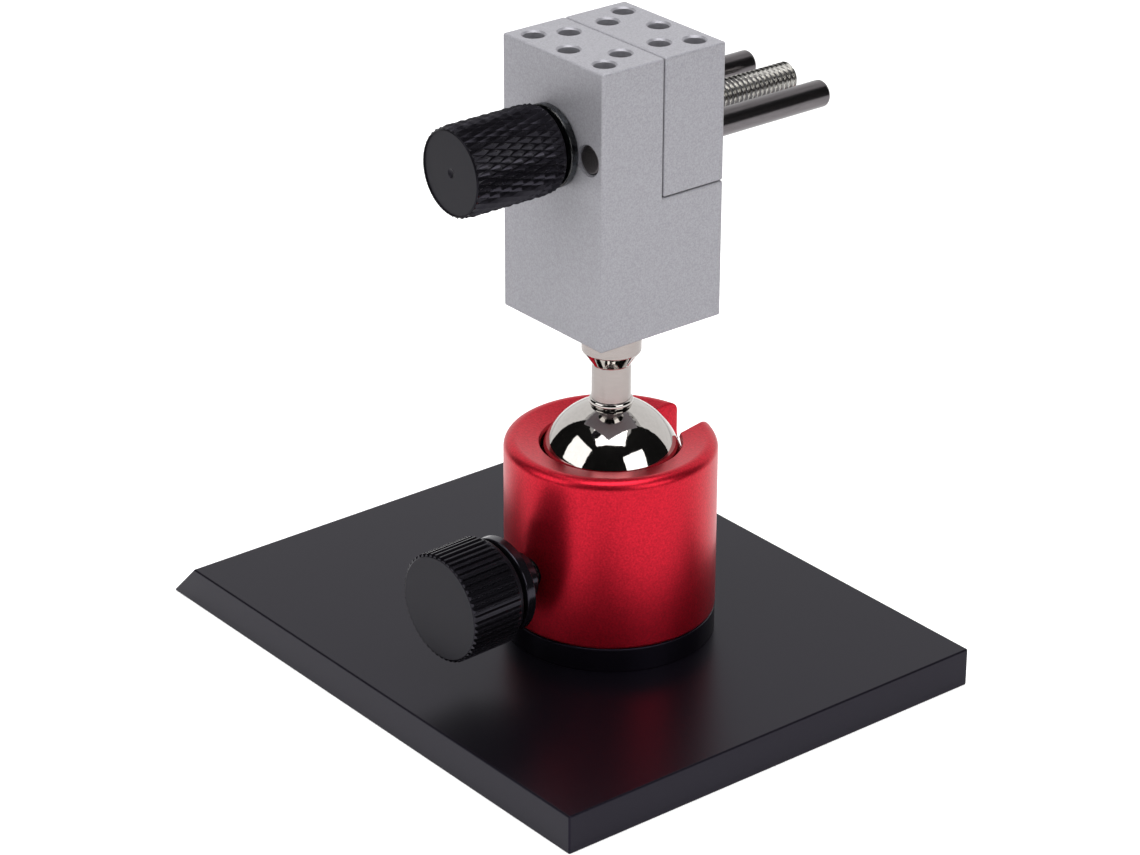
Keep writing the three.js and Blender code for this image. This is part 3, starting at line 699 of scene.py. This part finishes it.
class VISE_OT_plate(bpy.types.Operator):
    """Build the bevelled plate, with the screw and washer that hold it from below"""
    bl_idname = "vise.plate"
    bl_label = "Plate"

    def execute(self, context):
        plate = context.scene.vise.plate
        low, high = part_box("base_plate")
        head = head_axis()
        outline = [(low.y, low.z), (high.y, low.z), (high.y - plate.bevel_run, high.z), (low.y, high.z)]
        slab = prism("bevelled_plate", outline, low.x, high.x)
        slab.data.transform(SWAP)
        face_outwards(slab)
        break_edges(slab, plate.edge_round)
        washer_low, washer_high, washer_radius = reach("base_washer", head)
        shank = plate.screw_radius + PART_GAP
        pocket = lathe("pocket", rounded([
            (0, -OVERRUN), (washer_radius + PART_GAP, -OVERRUN), (washer_radius + PART_GAP, washer_high),
            (0, washer_high),
        ]), head)
        hole = lathe("hole", [
            (0, -OVERRUN), (shank, -OVERRUN), (shank, high.z + OVERRUN), (0, high.z + OVERRUN),
        ], head)
        cut(slab, pocket, hole)
        hand_over(slab, "base_plate", finish("satin_black_anodised", plate.colour))

        edge = (washer_high - washer_low) * WASHER_SHARE
        ring = lathe("plate_washer", rounded([
            (shank, washer_low, edge), (washer_radius, washer_low, edge), (washer_radius, washer_high, edge),
            (shank, washer_high, edge),
        ], closed=True), head, closed=True)
        hand_over(shade_round(ring), "base_washer", finish("bright_zinc_plated_steel"))

        screw_low, screw_high, head_radius = reach("base_screw", head)
        seat = screw_low + plate.screw_head
        edge = plate.screw_radius * END_SHARE
        screw = lathe("plate_screw", rounded([
            (0, screw_low), (head_radius, screw_low, edge), (head_radius, seat, edge / 2),
            (plate.screw_radius, seat), (plate.screw_radius, screw_high, edge), (0, screw_high),
        ]), head)
        socket = lathe("socket", [
            (0, screw_low - OVERRUN), (plate.hex_size, screw_low - OVERRUN),
            (plate.hex_size, screw_low + plate.hex_depth), (0, screw_low + plate.hex_depth),
        ], head, sides=6)
        cut(screw, socket)
        hand_over(shade_round(screw), "base_screw", finish("bright_zinc_plated_steel"))
        return {"FINISHED"}


class VISE_OT_foot_ring(bpy.types.Operator):
    """Build the black foot ring and its spigot"""
    bl_idname = "vise.foot_ring"
    bl_label = "Foot Ring"

    def execute(self, context):
        plate = context.scene.vise.plate
        head = head_axis()
        low, high, radius = reach("base_cap", head)
        flange = low + plate.cap_flange
        spigot = reach("ball_cup", head)[2]
        edge = plate.cap_edge
        bore = plate.screw_radius + RUNNING_GAP
        ring = lathe("foot_ring", rounded([
            (bore, low), (radius, low, edge / 2), (radius, flange, edge), (spigot, flange),
            (spigot, high, edge), (bore, high),
        ], closed=True), head, sides=192, closed=True)
        hand_over(shade_round(ring), "base_cap", finish("satin_black_anodised", plate.colour))
        return {"FINISHED"}


class VISE_OT_housing(bpy.types.Operator):
    """Build the red ball housing, with its drop slot and the lock stud's hole"""
    bl_idname = "vise.housing"
    bl_label = "Ball Housing"

    columns = 200
    floor_steps = 8
    fillet_steps = 12

    def execute(self, context):
        sizes = context.scene.vise.housing
        head = head_axis()
        low, top, radius = reach("ball_housing", head)
        centre = ball_centre(head)
        pocket = reach("ball_seat", head)[2] + PART_GAP
        shell = self.slotted_shell(sizes, low, top, radius, centre, pocket)
        shell.data.transform(head @ Matrix.Rotation(sizes.slot_azimuth, 4, "Z"))
        face_outwards(shell)
        break_edges(shell, sizes.slot_edge, segments=2, weighted=True)

        side = lock_axis()
        stud = reach("lock_stud", side)[2] + RUNNING_GAP
        cut(shell, lathe("hole", [(0, 0), (stud, 0), (stud, radius + OVERRUN), (0, radius + OVERRUN)], side))
        hand_over(shade_round(shell), "ball_housing", finish("blasted_red_anodised", sizes.colour))
        return {"FINISHED"}

    def slotted_shell(self, sizes, low, top, radius, centre, pocket):
        """A ring of columns round the housing that stops at the slot, with the slot's walls at its ends."""
        floor = centre - sizes.slot_radius
        steps = self.floor_steps
        levels = [floor + (centre - floor) * (1 - math.cos(math.pi / 2 * i / steps)) for i in range(steps)]
        levels += [centre]
        lip = math.sqrt(pocket ** 2 - (sizes.rim_radius - sizes.rim_edge) ** 2)
        lip_level = centre + lip
        fillet_foot = top - sizes.fillet
        rim_level = top - sizes.rim_dish
        shoulder = radius - sizes.fillet
        face_run, face_rise = shoulder - sizes.rim_radius, sizes.rim_dish - sizes.fillet
        slope = math.atan2(face_rise, face_run) + math.asin(sizes.fillet / math.hypot(face_run, face_rise))
        face_top = fillet_foot + sizes.fillet * math.cos(slope)
        levels += [(centre + lip_level) / 2, lip_level, fillet_foot, rim_level, face_top]
        steps = self.fillet_steps
        levels += [top - sizes.fillet * (1 - math.sin(math.pi / 2 * i / steps)) for i in range(1, steps)]
        levels = sorted({round(level, 8) for level in levels if level < top - TINY})

        def outer(level):
            rise = level - fillet_foot
            if rise <= 0:
                return radius
            return shoulder + math.sqrt(max(sizes.fillet ** 2 - rise ** 2, 0))

        def inner(level):
            if level <= centre:
                return pocket
            if level <= lip_level:
                return math.sqrt(pocket ** 2 - (level - centre) ** 2)
            if level <= rim_level:
                return sizes.rim_radius - sizes.rim_edge * (rim_level - level) / (rim_level - lip_level)
            if level <= face_top:
                return sizes.rim_radius + (level - rim_level) / math.tan(slope)
            return shoulder - math.sqrt(max(sizes.fillet ** 2 - (level - fillet_foot) ** 2, 0))

        def half_width(level):
            if level <= floor:
                return 0.0
            if level < centre:
                return math.sqrt(sizes.slot_radius ** 2 - (centre - level) ** 2)
            return sizes.slot_radius

        foot = sizes.foot_edge
        below = rounded([(pocket, low), (radius, low, foot), (radius, floor)], steps=4)[:-1]
        up = [(outer(level), level) for level in levels]
        down = [(inner(level), level) for level in reversed(levels)]
        profile = below + up + [(shoulder, top)] + down

        points, rows = [], []
        for r, level in profile:
            width = half_width(level)
            start = math.asin(width / r) if width else 0.0
            count = self.columns + 1 if width > TINY else self.columns
            row = list(range(len(points), len(points) + count))
            for k in range(count):
                angle = start + (2 * math.pi - 2 * start) * k / self.columns
                points.append((r * math.cos(angle), r * math.sin(angle), level))
            rows.append(row if count > self.columns else row + [row[0]])
        faces = []
        for lower, upper in zip(rows, rows[1:] + rows[:1]):
            for k in range(self.columns):
                corners = [lower[k], lower[k + 1], upper[k + 1], upper[k]]
                unique = list(dict.fromkeys(corners))
                if len(unique) > 2:
                    faces.append(unique)
        first = len(below)
        apex = first + len(levels)
        creases = set()
        for end in (0, -1):
            ends = [row[end] for row in rows]
            outside, inside = ends[first:apex + 1], ends[apex:][::-1]
            for i in range(len(levels)):
                corners = [outside[i], outside[i + 1], inside[i + 1], inside[i]]
                faces.append(list(dict.fromkeys(corners)))
                creases |= {frozenset(corners[:2]), frozenset(corners[2:])}
        shell = new_piece("red_housing", points, faces)
        weights = shell.data.attributes.new("bevel_weight_edge", "FLOAT", "EDGE")
        for edge in shell.data.edges:
            weights.data[edge.index].value = 1.0 if frozenset(edge.vertices) in creases else 0.0
        return shell


class VISE_OT_ball(bpy.types.Operator):
    """Build the plated ball with its bead, neck, flare and stud"""
    bl_idname = "vise.ball"
    bl_label = "Ball And Neck"

    ball_steps = 64
    bead_steps = 12
    # The share of the bead's half turn that is sunk in the ball
    bead_sunk = 0.12

    def execute(self, context):
        sizes = context.scene.vise.stem
        head = head_axis()
        low, high, _ = reach("ball_stem", head)
        centre = ball_centre(head)
        radius = centre - low
        bead_angle = math.acos(sizes.neck_radius / radius)
        foot = centre + radius * math.sin(bead_angle)
        swell = sizes.bead_radius - sizes.neck_radius
        steps, sunk = self.bead_steps, self.bead_sunk
        turns = [math.pi * (sunk + (1 - sunk) * i / steps) for i in range(steps + 1)]
        bead = [(sizes.neck_radius + swell * math.sin(t), foot + sizes.bead_length * (1 - math.cos(t)) / 2)
                for t in turns]
        start = math.acos(bead[0][0] / radius)
        neck_top = centre + sizes.neck_top
        flare_top = neck_top + sizes.flare_height
        shoulder = high - sizes.stud_length
        body = rounded([
            bead[-1], (sizes.neck_radius, neck_top, sizes.flare_fillet),
            (sizes.flange_radius, flare_top, sizes.flange_edge),
            (sizes.flange_radius, shoulder, FINE_EDGE), (sizes.stud_radius, shoulder),
            (sizes.stud_radius, high, sizes.stud_radius * END_SHARE), (0, high),
        ])
        ball = arc((0, centre), radius, -math.pi / 2, start, self.ball_steps)
        ball[0] = (0, low)
        stem = lathe("ball_and_neck", ball + bead[1:-1] + body, head, sides=192)
        hand_over(shade_round(stem), "ball_stem", finish("bright_nickel_plating"))
        bead_top = foot + sizes.bead_length
        repaint(stem, finish("satin_nickel_plating"),
                lambda place: bead_top < place.z < neck_top or place.z > flare_top)
        return {"FINISHED"}


class VISE_OT_jaws(bpy.types.Operator):
    """Build the fixed and the moving jaw, with their pin holes and bores"""
    bl_idname = "vise.jaws"
    bl_label = "Jaws"

    def execute(self, context):
        vise = context.scene.vise
        sizes = vise.jaws
        silver = finish("blasted_silver_anodised", sizes.colour)
        # The hole walls' darker tone is painted shade
        drilled = finish("drilled_aluminium_painted_shade")
        low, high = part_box("jaw_body")
        moving_low, moving_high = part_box("moving_jaw")
        seam = moving_low.x - sizes.seam
        ledge = moving_low.z - sizes.bore_gap
        block = prism("fixed_jaw", [
            (low.x, low.z), (moving_high.x, low.z), (moving_high.x, ledge), (seam, ledge), (seam, high.z),
            (low.x, high.z),
        ], low.y, high.y)
        break_edges(block, sizes.edge_round)
        head = head_axis()
        stem_top = reach("ball_stem", head)[1] + OVERRUN
        stud = vise.stem.stud_radius + sizes.bore_gap
        stud_hole = lathe("stud_hole", [
            (0, low.z - OVERRUN), (stud, low.z - OVERRUN), (stud, stem_top), (0, stem_top)], head)
        self.drill(block, silver, drilled, self.pin_holes(sizes, -1, low.x, high.z, drilled), stud_hole,
                   *self.bores(sizes, low.x, seam, True))
        hand_over(block, "jaw_body", silver)

        mover = prism("moving_jaw_block", [
            (moving_low.x, moving_low.z), (moving_high.x, moving_low.z), (moving_high.x, moving_high.z),
            (moving_low.x, moving_high.z),
        ], moving_low.y, moving_high.y)
        break_edges(mover, sizes.edge_round)
        self.drill(mover, silver, drilled, self.pin_holes(sizes, 1, moving_high.x, moving_high.z, drilled),
                   *self.bores(sizes, moving_low.x, moving_high.x, False))
        hand_over(mover, "moving_jaw", silver)
        return {"FINISHED"}

    @staticmethod
    def drill(block, skin, wall, *cutters):
        """Cuts holes whose walls have a finish of their own, a little darker as painted shade."""
        block.data.materials.append(skin)
        for cutter in cutters:
            if not cutter.data.materials:
                cutter.data.materials.append(wall)
        cut(block, *cutters)

    @staticmethod
    def pin_holes(sizes, side, face, top, material):
        """The five pin holes of one jaw as one cutter."""
        wide = sizes.pin_radius + sizes.pin_sink + OVERRUN
        cone = sizes.pin_radius * math.tan(DRILL_POINT)
        cutter = lathe("pin_holes", [
            (0, top - sizes.pin_depth - cone), (sizes.pin_radius, top - sizes.pin_depth),
            (sizes.pin_radius, top - sizes.pin_sink), (wide, top + OVERRUN), (0, top + OVERRUN),
        ], Matrix.Identity(4), sides=64)
        return grow(cutter, rows_tree(), Outer_X=face - side * sizes.outer_inset,
                    Outer_Spacing=sizes.outer_spacing, Inner_X=face - side * sizes.inner_inset,
                    Inner_Spacing=sizes.inner_spacing, Middle_Y=middle("jaw_body").y, Material=material)

    @staticmethod
    def bores(sizes, start, end, fixed):
        """Cutters for the rods, and the screw with its ring's pocket in the fixed jaw."""
        axis = slide_axis()
        shift = axis.translation.x
        start, end = start - shift, end - shift
        cutters = []
        for node in ("guide_rod_near", "guide_rod_far"):
            centre = middle(node)
            rod_axis = axis_place((shift, centre.y, centre.z), 0.0)
            bore = reach(node, rod_axis)[2] + sizes.bore_gap
            mouth = [(bore, start - OVERRUN)]
            if fixed:
                wide, depth = bore + sizes.mouth_step, start + sizes.mouth_depth
                mouth = [(wide, start - OVERRUN), (wide, depth), (bore, depth)]
            cutters.append(lathe("rod_bore", [(0, start - OVERRUN), *mouth, (bore, end + OVERRUN),
                                              (0, end + OVERRUN)], rod_axis, sides=72))
        bore = reach("lead_screw", axis)[2] + sizes.bore_gap
        seat = end - sizes.pocket_depth
        tail = [(bore, end + OVERRUN)]
        if fixed:
            tail = [(bore, seat), (sizes.pocket_radius, seat), (sizes.pocket_radius, end + OVERRUN)]
        cutters.append(lathe("screw_bore", [(0, start - OVERRUN), (bore, start - OVERRUN), *tail,
                                            (0, end + OVERRUN)], axis, sides=72))
        return cutters


class VISE_OT_rods(bpy.types.Operator):
    """Build the two guide rods"""
    bl_idname = "vise.rods"
    bl_label = "Guide Rods"

    def execute(self, context):
        sizes = context.scene.vise.slide
        for name, node in (("near_rod", "guide_rod_near"), ("far_rod", "guide_rod_far")):
            centre = middle(node)
            axis = axis_place((0, centre.y, centre.z), 0.0)
            low, high, radius = reach(node, axis)
            edge = sizes.rod_round / 2
            rod = lathe(name, rounded([
                (0, low), (radius, low, edge), (radius, high, sizes.rod_round), (0, high),
            ], steps=6), axis)
            hand_over(shade_round(rod), node, finish("ground_stainless_steel"))
            repaint(rod, finish("faced_steel_end"), lambda place: place.x < low + edge)
        return {"FINISHED"}


class VISE_OT_lead_screw(bpy.types.Operator):
    """Build the lead screw with its thread, and the ring that holds it in the fixed jaw"""
    bl_idname = "vise.lead_screw"
    bl_label = "Lead Screw"

    def execute(self, context):
        sizes = context.scene.vise.slide
        axis = slide_axis()
        low, high, radius = reach("lead_screw", axis)
        ring_low, ring_high, ring_radius = reach("retaining_ring", axis)
        groove = radius - sizes.groove_depth
        gap = RUNNING_GAP
        plain_end = ring_high + gap + SINK
        plain = lathe("threaded_screw", rounded([
            (0, low), (radius, low, gap), (radius, ring_low - gap), (groove, ring_low - gap),
            (groove, ring_high + gap), (radius, ring_high + gap), (radius, plain_end), (0, plain_end),
        ]), axis, sides=72)
        zinc = finish("bright_zinc_plated_steel")
        thread = threaded("thread", axis, zinc, radius, sizes.thread_depth, sizes.thread_pitch,
                          plain_end - gap, high, sizes.screw_edge)
        join(plain, thread)
        hand_over(shade_round(plain), "lead_screw", zinc)
        self.snap_ring(sizes, axis, ring_low, ring_high, ring_radius, groove + gap)
        return {"FINISHED"}

    @staticmethod
    def snap_ring(sizes, axis, low, high, outer, inner):
        """A flat open ring whose mouth faces sideways."""
        steps = 48
        outline = []
        for radius, way in ((outer, 1), (inner, -1)):
            start = math.asin(sizes.ring_mouth / 2 / radius)
            angles = [start + (2 * math.pi - 2 * start) * i / steps for i in range(steps + 1)][::way]
            outline += [(radius * math.cos(a), radius * math.sin(a)) for a in angles]
        count = len(outline)
        points = [axis @ Vector((x, y, z)) for z in (low, high) for x, y in outline]
        ends = []
        for i in range(steps):
            j = count - 2 - i
            ends += [(i, j + 1, j, i + 1), (i + count, i + 1 + count, j + count, j + 1 + count)]
        ring = new_piece("snap_ring", points, walls(count) + ends)
        face_outwards(ring)
        hand_over(ring, "retaining_ring", finish("oiled_spring_steel"))


class VISE_OT_washer(bpy.types.Operator):
    """Build the clear washer behind the jaw knob"""
    bl_idname = "vise.washer"
    bl_label = "Clear Washer"

    def execute(self, context):
        sizes = context.scene.vise.slide
        axis = slide_axis()
        low, high, radius = reach("thrust_washer", axis)
        bore = reach("lead_screw", axis)[2] + RUNNING_GAP
        edge = sizes.washer_edge
        washer = lathe("clear_washer", rounded([
            (bore, low, edge / 2), (radius, low, edge), (radius, high, edge / 2), (bore, high, edge / 2),
        ], closed=True), axis, sides=128, closed=True)
        # The washer's smoky dark tint is painted reflection of the dark knob
        hand_over(shade_round(washer), "thrust_washer", finish("cloudy_clear_plastic"))
        return {"FINISHED"}


class VISE_OT_jaw_knob(bpy.types.Operator):
    """Build the diamond-knurled knob on the lead screw"""
    bl_idname = "vise.jaw_knob"
    bl_label = "Jaw Knob"

    def execute(self, context):
        sizes = context.scene.vise.jaw_knob
        black = finish("knurled_black_anodised", sizes.colour)
        axis = slide_axis()
        face, hub_end, radius = reach("jaw_knob", axis)
        start = hub_end - sizes.hub_length
        valley = radius - sizes.depth
        step = (start - face) / sizes.rows
        chamfer = sizes.edge
        screw_end, _, screw_radius = reach("lead_screw", axis)
        bore = screw_radius + RUNNING_GAP
        bore_end = screw_end - PART_GAP
        core = lathe("diamond_knob", rounded([
            (0, face + sizes.dimple_depth), (sizes.dimple_radius, face, FINE_EDGE),
            (radius - chamfer, face, FINE_EDGE), (valley, face + (valley - radius + chamfer)),
            (valley, start - (valley - radius + chamfer)), (radius - chamfer, start, FINE_EDGE),
            (sizes.hub_radius, start), (sizes.hub_radius, hub_end, FINE_EDGE), (bore, hub_end),
            (bore, bore_end), (0, bore_end),
        ]), axis, sides=2 * sizes.diamonds)
        teeth = self.diamond(sizes, valley, radius, step)
        grow(teeth, ring_tree(), Count=sizes.diamonds, Rows=sizes.rows + 1, Step=step, Start=face,
             Material=black)
        for vertex in teeth.data.vertices:
            point = vertex.co
            level = min(max(point.z, face), start)
            limit = radius - chamfer + min(level - face, start - level)
            out = point.xy.length
            scale = min(1.0, limit / out)
            vertex.co = (point.x * scale, point.y * scale, level)
        teeth.data.transform(axis)
        join(core, teeth)
        hand_over(shade_round(core), "jaw_knob", black)
        repaint(core, finish("cut_black_anodised", sizes.colour),
                lambda place: off_axis(place, axis) > valley - GUARD)
        return {"FINISHED"}

    @staticmethod
    def diamond(sizes, valley, radius, step):
        """One diamond tooth across +X, whose foot is sunk in the knob's core."""
        half = math.pi / sizes.diamonds

        def ring(r, part):
            side = half * part
            out, across = r * math.cos(side), r * math.sin(side)
            return [(r, 0, -step * part), (out, across, 0), (r, 0, step * part), (out, -across, 0)]

        return tooth("diamonds", ring(valley - SINK, 1), ring(valley, 1), ring(radius, sizes.tip_share))


class VISE_OT_lock(bpy.types.Operator):
    """Build the lock knob with its ridges, the collar and the lock stud"""
    bl_idname = "vise.lock"
    bl_label = "Lock Knob"

    def execute(self, context):
        vise = context.scene.vise
        sizes = vise.lock
        shade = vise.jaw_knob.colour
        black = finish("knurled_black_anodised", shade)
        axis = lock_axis()
        self.knob(sizes, axis, black, finish("cut_black_anodised", shade))

        low, high, radius = reach("lock_collar", axis)
        stud_low, stud_high, stud_radius = reach("lock_stud", axis)
        bore = stud_radius + RUNNING_GAP
        flange = high - sizes.collar_thickness
        collar = lathe("smooth_collar", rounded([
            (bore, low), (sizes.hub_radius, low, FINE_EDGE), (sizes.hub_radius, flange),
            (radius, flange, sizes.collar_edge / 2), (radius, high, sizes.collar_edge), (bore, high),
        ], closed=True), axis, sides=160, closed=True)
        hand_over(shade_round(collar), "lock_collar", finish("turned_black_anodised", shade))

        cone_top = stud_low + sizes.cone_length
        cone_radius = stud_radius - RUNNING_GAP
        tip = lathe("lock_screw", [
            (0, stud_low), (sizes.tip_radius, stud_low), (cone_radius, cone_top),
            (cone_radius, cone_top + SINK), (0, cone_top + SINK),
        ], axis, sides=48)
        # The stud's near black colour is painted shade
        shade_dark_steel = finish("shade_dark_thread_steel")
        thread = threaded("stud_thread", axis, shade_dark_steel, stud_radius, sizes.thread_depth, sizes.thread_pitch,
                          cone_top, stud_high, sizes.thread_depth)
        join(tip, thread)
        hand_over(shade_round(tip), "lock_stud", shade_dark_steel)
        return {"FINISHED"}

    @staticmethod
    def knob(sizes, axis, plain, ridged):
        neck, face, radius = reach("lock_knob", axis)
        rim = neck + sizes.neck_length
        start = rim + sizes.rim_length
        valley = radius - sizes.depth
        slope = sizes.face_edge / (radius - sizes.face_radius)
        valley_edge = face - slope * (valley - sizes.face_radius)
        _, stud_end, stud_radius = reach("lock_stud", axis)
        bore, bore_end = stud_radius + RUNNING_GAP, stud_end + PART_GAP
        core = lathe("ridged_knob", rounded([
            (0, bore_end), (bore, bore_end), (bore, neck), (sizes.neck_radius, neck, FINE_EDGE),
            (sizes.neck_radius, rim), (sizes.rim_radius, rim, FINE_EDGE), (sizes.rim_radius, start),
            (valley, start), (valley, valley_edge), (sizes.face_radius, face, FINE_EDGE), (0, face),
        ]), axis, sides=4 * sizes.ridges)
        pitch = 2 * math.pi / sizes.ridges
        foot, top = sizes.foot_share / 2 * pitch, sizes.crest_share / 2 * pitch

        def ring(r, half, low, high):
            return [(r * math.cos(a), r * math.sin(a), level)
                    for a, level in ((-half, low), (half, low), (half, high), (-half, high))]

        ridge = tooth("ridges", ring(valley - SINK, foot, start, valley_edge),
                      ring(valley, foot, start, valley_edge),
                      ring(radius, top, start + sizes.rear_edge, face - sizes.face_edge))
        face_outwards(ridge)
        grow(ridge, ring_tree(), Count=sizes.ridges, Rows=1, Step=0.0, Start=0.0, Material=plain)
        ridge.data.transform(axis)
        join(core, ridge)
        hand_over(shade_round(core), "lock_knob", plain)
        repaint(core, ridged, lambda place: off_axis(place, axis) > valley - GUARD)


class VISE_OT_seat(bpy.types.Operator):
    """Give the hidden seat, cup and spring their materials"""
    bl_idname = "vise.seat"
    bl_label = "Seat And Spring"

    def execute(self, context):
        for node, name in (("ball_seat", "natural_nylon"), ("ball_cup", "turned_aluminium"),
                           ("cup_spring", "oiled_spring_steel")):
            mesh = frame["nodes"][node].data
            mesh.materials.clear()
            mesh.materials.append(finish(name))
        return {"FINISHED"}


# Stage

class VISE_OT_stage(bpy.types.Operator):
    """Set the floor, the lamps, the background and the camera"""
    bl_idname = "vise.stage"
    bl_label = "Stage"

    # Millimetres, then tilt, azimuth and roll in degrees
    camera_place = (-401.8, -501.8, 354.5)
    camera_turn = (64.4, -38.84, 0.163)
    sensor_width = 36
    box_distance = 700
    # Name, azimuth and elevation in degrees, width and height in millimetres, watts
    soft_boxes = (
        ("left_box", 163, 28, (510, 440), 1.45),
        ("right_box", -84, 23, (455, 350), 1.35),
        ("top_box", -130, 80, (600, 600), 4.3),
    )
    fill_level = 0.4
    # The floor lies a hair under the plate, so that the two never share a plane
    floor_drop = 0.01
    floor_glow = 0.5
    mirrored_floor_glow = 0.22
    wall_radius = 1200
    wall_height = 2300
    wall_azimuth = -137
    wall_half_turn = 120
    wall_steps = 24
    ceiling_half_side = 1920
    ceiling_glow = 0.55

    def execute(self, context):
        scene = context.scene
        scene.view_settings.view_transform = "Standard"
        self.floor(scene.vise.stage)
        self.background(scene)
        for box in self.soft_boxes:
            self.lamp(*box)
        self.dark_room()
        self.camera(scene, scene.vise.stage)
        return {"FINISHED"}

    @staticmethod
    def seen(tree, direct=1.0, mirrored=1.0):
        """The first level where the camera sees it, also through a clear piece, the second where mirrors do,
        and 0 where it would light the scene."""
        rays = add_node(tree, "ShaderNodeLightPath")
        clear = add_node(tree, "ShaderNodeMath", {
            0: rays.outputs["Is Camera Ray"], 1: rays.outputs["Is Transmission Ray"]}, operation="MAXIMUM")
        mirror = add_node(tree, "ShaderNodeMath", {0: rays.outputs["Is Glossy Ray"], 1: mirrored},
                          operation="MULTIPLY")
        straight = add_node(tree, "ShaderNodeMath", {0: clear, 1: direct}, operation="MULTIPLY")
        return add_node(tree, "ShaderNodeMath", {0: straight, 1: mirror}, operation="MAXIMUM")

    def floor(self, sizes):
        half = sizes.floor_size / 2
        low = -self.floor_drop * MM
        floor = new_piece("floor", [
            (-half, -half, low), (half, -half, low), (half, half, low), (-half, half, low),
        ], [(0, 1, 2, 3)])
        material = new_material("matt_white_paper", {
            "Base Color": sizes.floor, "Roughness": 0.9, "Emission Color": linear("#FFFFFF")})
        tree = material.node_tree
        glow = self.seen(tree, self.floor_glow, self.mirrored_floor_glow)
        tree.links.new(glow.outputs[0], tree.nodes["Principled BSDF"].inputs["Emission Strength"])
        floor.data.materials.append(material)

    def background(self, scene):
        """White where it is seen, mirrored or seen through, and a plain level where it lights."""
        world = bpy.data.worlds.new("studio")
        scene.world = world
        world.use_nodes = True
        tree = world.node_tree
        level = add_node(tree, "ShaderNodeMapRange", {"Value": self.seen(tree), "To Min": self.fill_level,
                                                      "To Max": 1.0})
        shader = tree.nodes["Background"]
        shader.inputs["Color"].default_value = linear("#FFFFFF")
        tree.links.new(level.outputs[0], shader.inputs["Strength"])

    def lamp(self, name, azimuth, elevation, size, power):
        """A soft box that looks at the head from that direction."""
        data = bpy.data.lights.new(name, "AREA")
        data.energy = power
        data.shape = "RECTANGLE"
        data.size, data.size_y = (side * MM for side in size)
        lamp = bpy.data.objects.new(name, data)
        level = Vector((self.box_distance * MM, 0, 0))
        raised = Matrix.Rotation(math.radians(-elevation), 3, "Y") @ level
        away = Matrix.Rotation(math.radians(azimuth), 3, "Z") @ raised
        lamp.location = middle("ball_stem") + away
        lamp.rotation_euler = away.to_track_quat("Z", "Y").to_euler()
        bpy.context.scene.collection.objects.link(lamp)

    def dark_room(self):
        """A dark wall behind the camera and a grey ceiling, which only reflections see."""
        steps = self.wall_steps
        radius, height = self.wall_radius * MM, self.wall_height * MM
        azimuth, half_turn = math.radians(self.wall_azimuth), math.radians(self.wall_half_turn)
        angles = [azimuth + half_turn * (2 * i / steps - 1) for i in range(steps + 1)]
        points = [(radius * math.cos(a), radius * math.sin(a), z) for z in (0, height) for a in angles]
        count = len(angles)
        faces = [(i + 1, i, i + count, i + count + 1) for i in range(steps)]
        wall = new_piece("dark_wall", points, faces)
        wall.data.materials.append(new_material("black_cloth", {
            "Base Color": linear("#060606"), "Roughness": 1.0}))
        half = self.ceiling_half_side * MM
        ceiling = new_piece("grey_ceiling", [
            (-half, -half, height), (-half, half, height), (half, half, height), (half, -half, height),
        ], [(0, 1, 2, 3)])
        ceiling.data.materials.append(new_material("grey_cloth", {
            "Base Color": linear("#060606"), "Roughness": 1.0, "Emission Color": linear("#FFFFFF"),
            "Emission Strength": self.ceiling_glow}))
        for screen in (wall, ceiling):
            screen.visible_camera = False
            screen.visible_diffuse = False
            screen.visible_transmission = False
            screen.visible_shadow = False

    def camera(self, scene, sizes):
        data = bpy.data.cameras.new("camera")
        data.lens = sizes.lens
        data.sensor_width = self.sensor_width
        camera = bpy.data.objects.new("camera", data)
        tilt, azimuth, roll = (math.radians(angle) for angle in self.camera_turn)
        aim = Matrix.Rotation(azimuth, 4, "Z") @ Matrix.Rotation(tilt, 4, "X")
        place = Matrix.Translation(Vector(self.camera_place) * MM)
        camera.matrix_world = place @ (aim @ Matrix.Rotation(roll, 4, "Z"))
        scene.collection.objects.link(camera)
        scene.camera = camera


class VISE_PT_panel(bpy.types.Panel):
    """Lists the vise's operators and settings in the sidebar"""
    bl_idname = "VISE_PT_panel"
    bl_label = "Mini Bench Vise"
    bl_space_type = "VIEW_3D"
    bl_region_type = "UI"
    bl_category = "Vise"

    def draw(self, context):
        for operator in OPERATORS:
            self.layout.operator(operator.bl_idname)
        for group in ViseSettings.bl_rna.properties:
            if group.type != "POINTER" or group.identifier == "rna_type":
                continue
            box = self.layout.box()
            box.label(text=group.identifier.replace("_", " ").title())
            settings = getattr(context.scene.vise, group.identifier)
            for item in settings.bl_rna.properties:
                if item.identifier not in {"rna_type", "name"}:
                    box.prop(settings, item.identifier)


GROUPS = (PlateSettings, HousingSettings, StemSettings, JawSettings, SlideSettings, JawKnobSettings,
          LockSettings, StageSettings, ViseSettings)
OPERATORS = (VISE_OT_plate, VISE_OT_foot_ring, VISE_OT_housing, VISE_OT_ball, VISE_OT_jaws, VISE_OT_rods,
             VISE_OT_lead_screw, VISE_OT_washer, VISE_OT_jaw_knob, VISE_OT_lock, VISE_OT_seat, VISE_OT_stage)


def register():
    for item in (*GROUPS, *OPERATORS, VISE_PT_panel):
        bpy.utils.register_class(item)
    bpy.types.Scene.vise = PointerProperty(type=ViseSettings)


def unregister():
    del bpy.types.Scene.vise
    for item in reversed((*GROUPS, *OPERATORS, VISE_PT_panel)):
        bpy.utils.unregister_class(item)


def main():
    register()
    for operator in OPERATORS:
        group, name = operator.bl_idname.split(".")
        getattr(getattr(bpy.ops, group), name)()


if __name__ == "__main__":
    main()
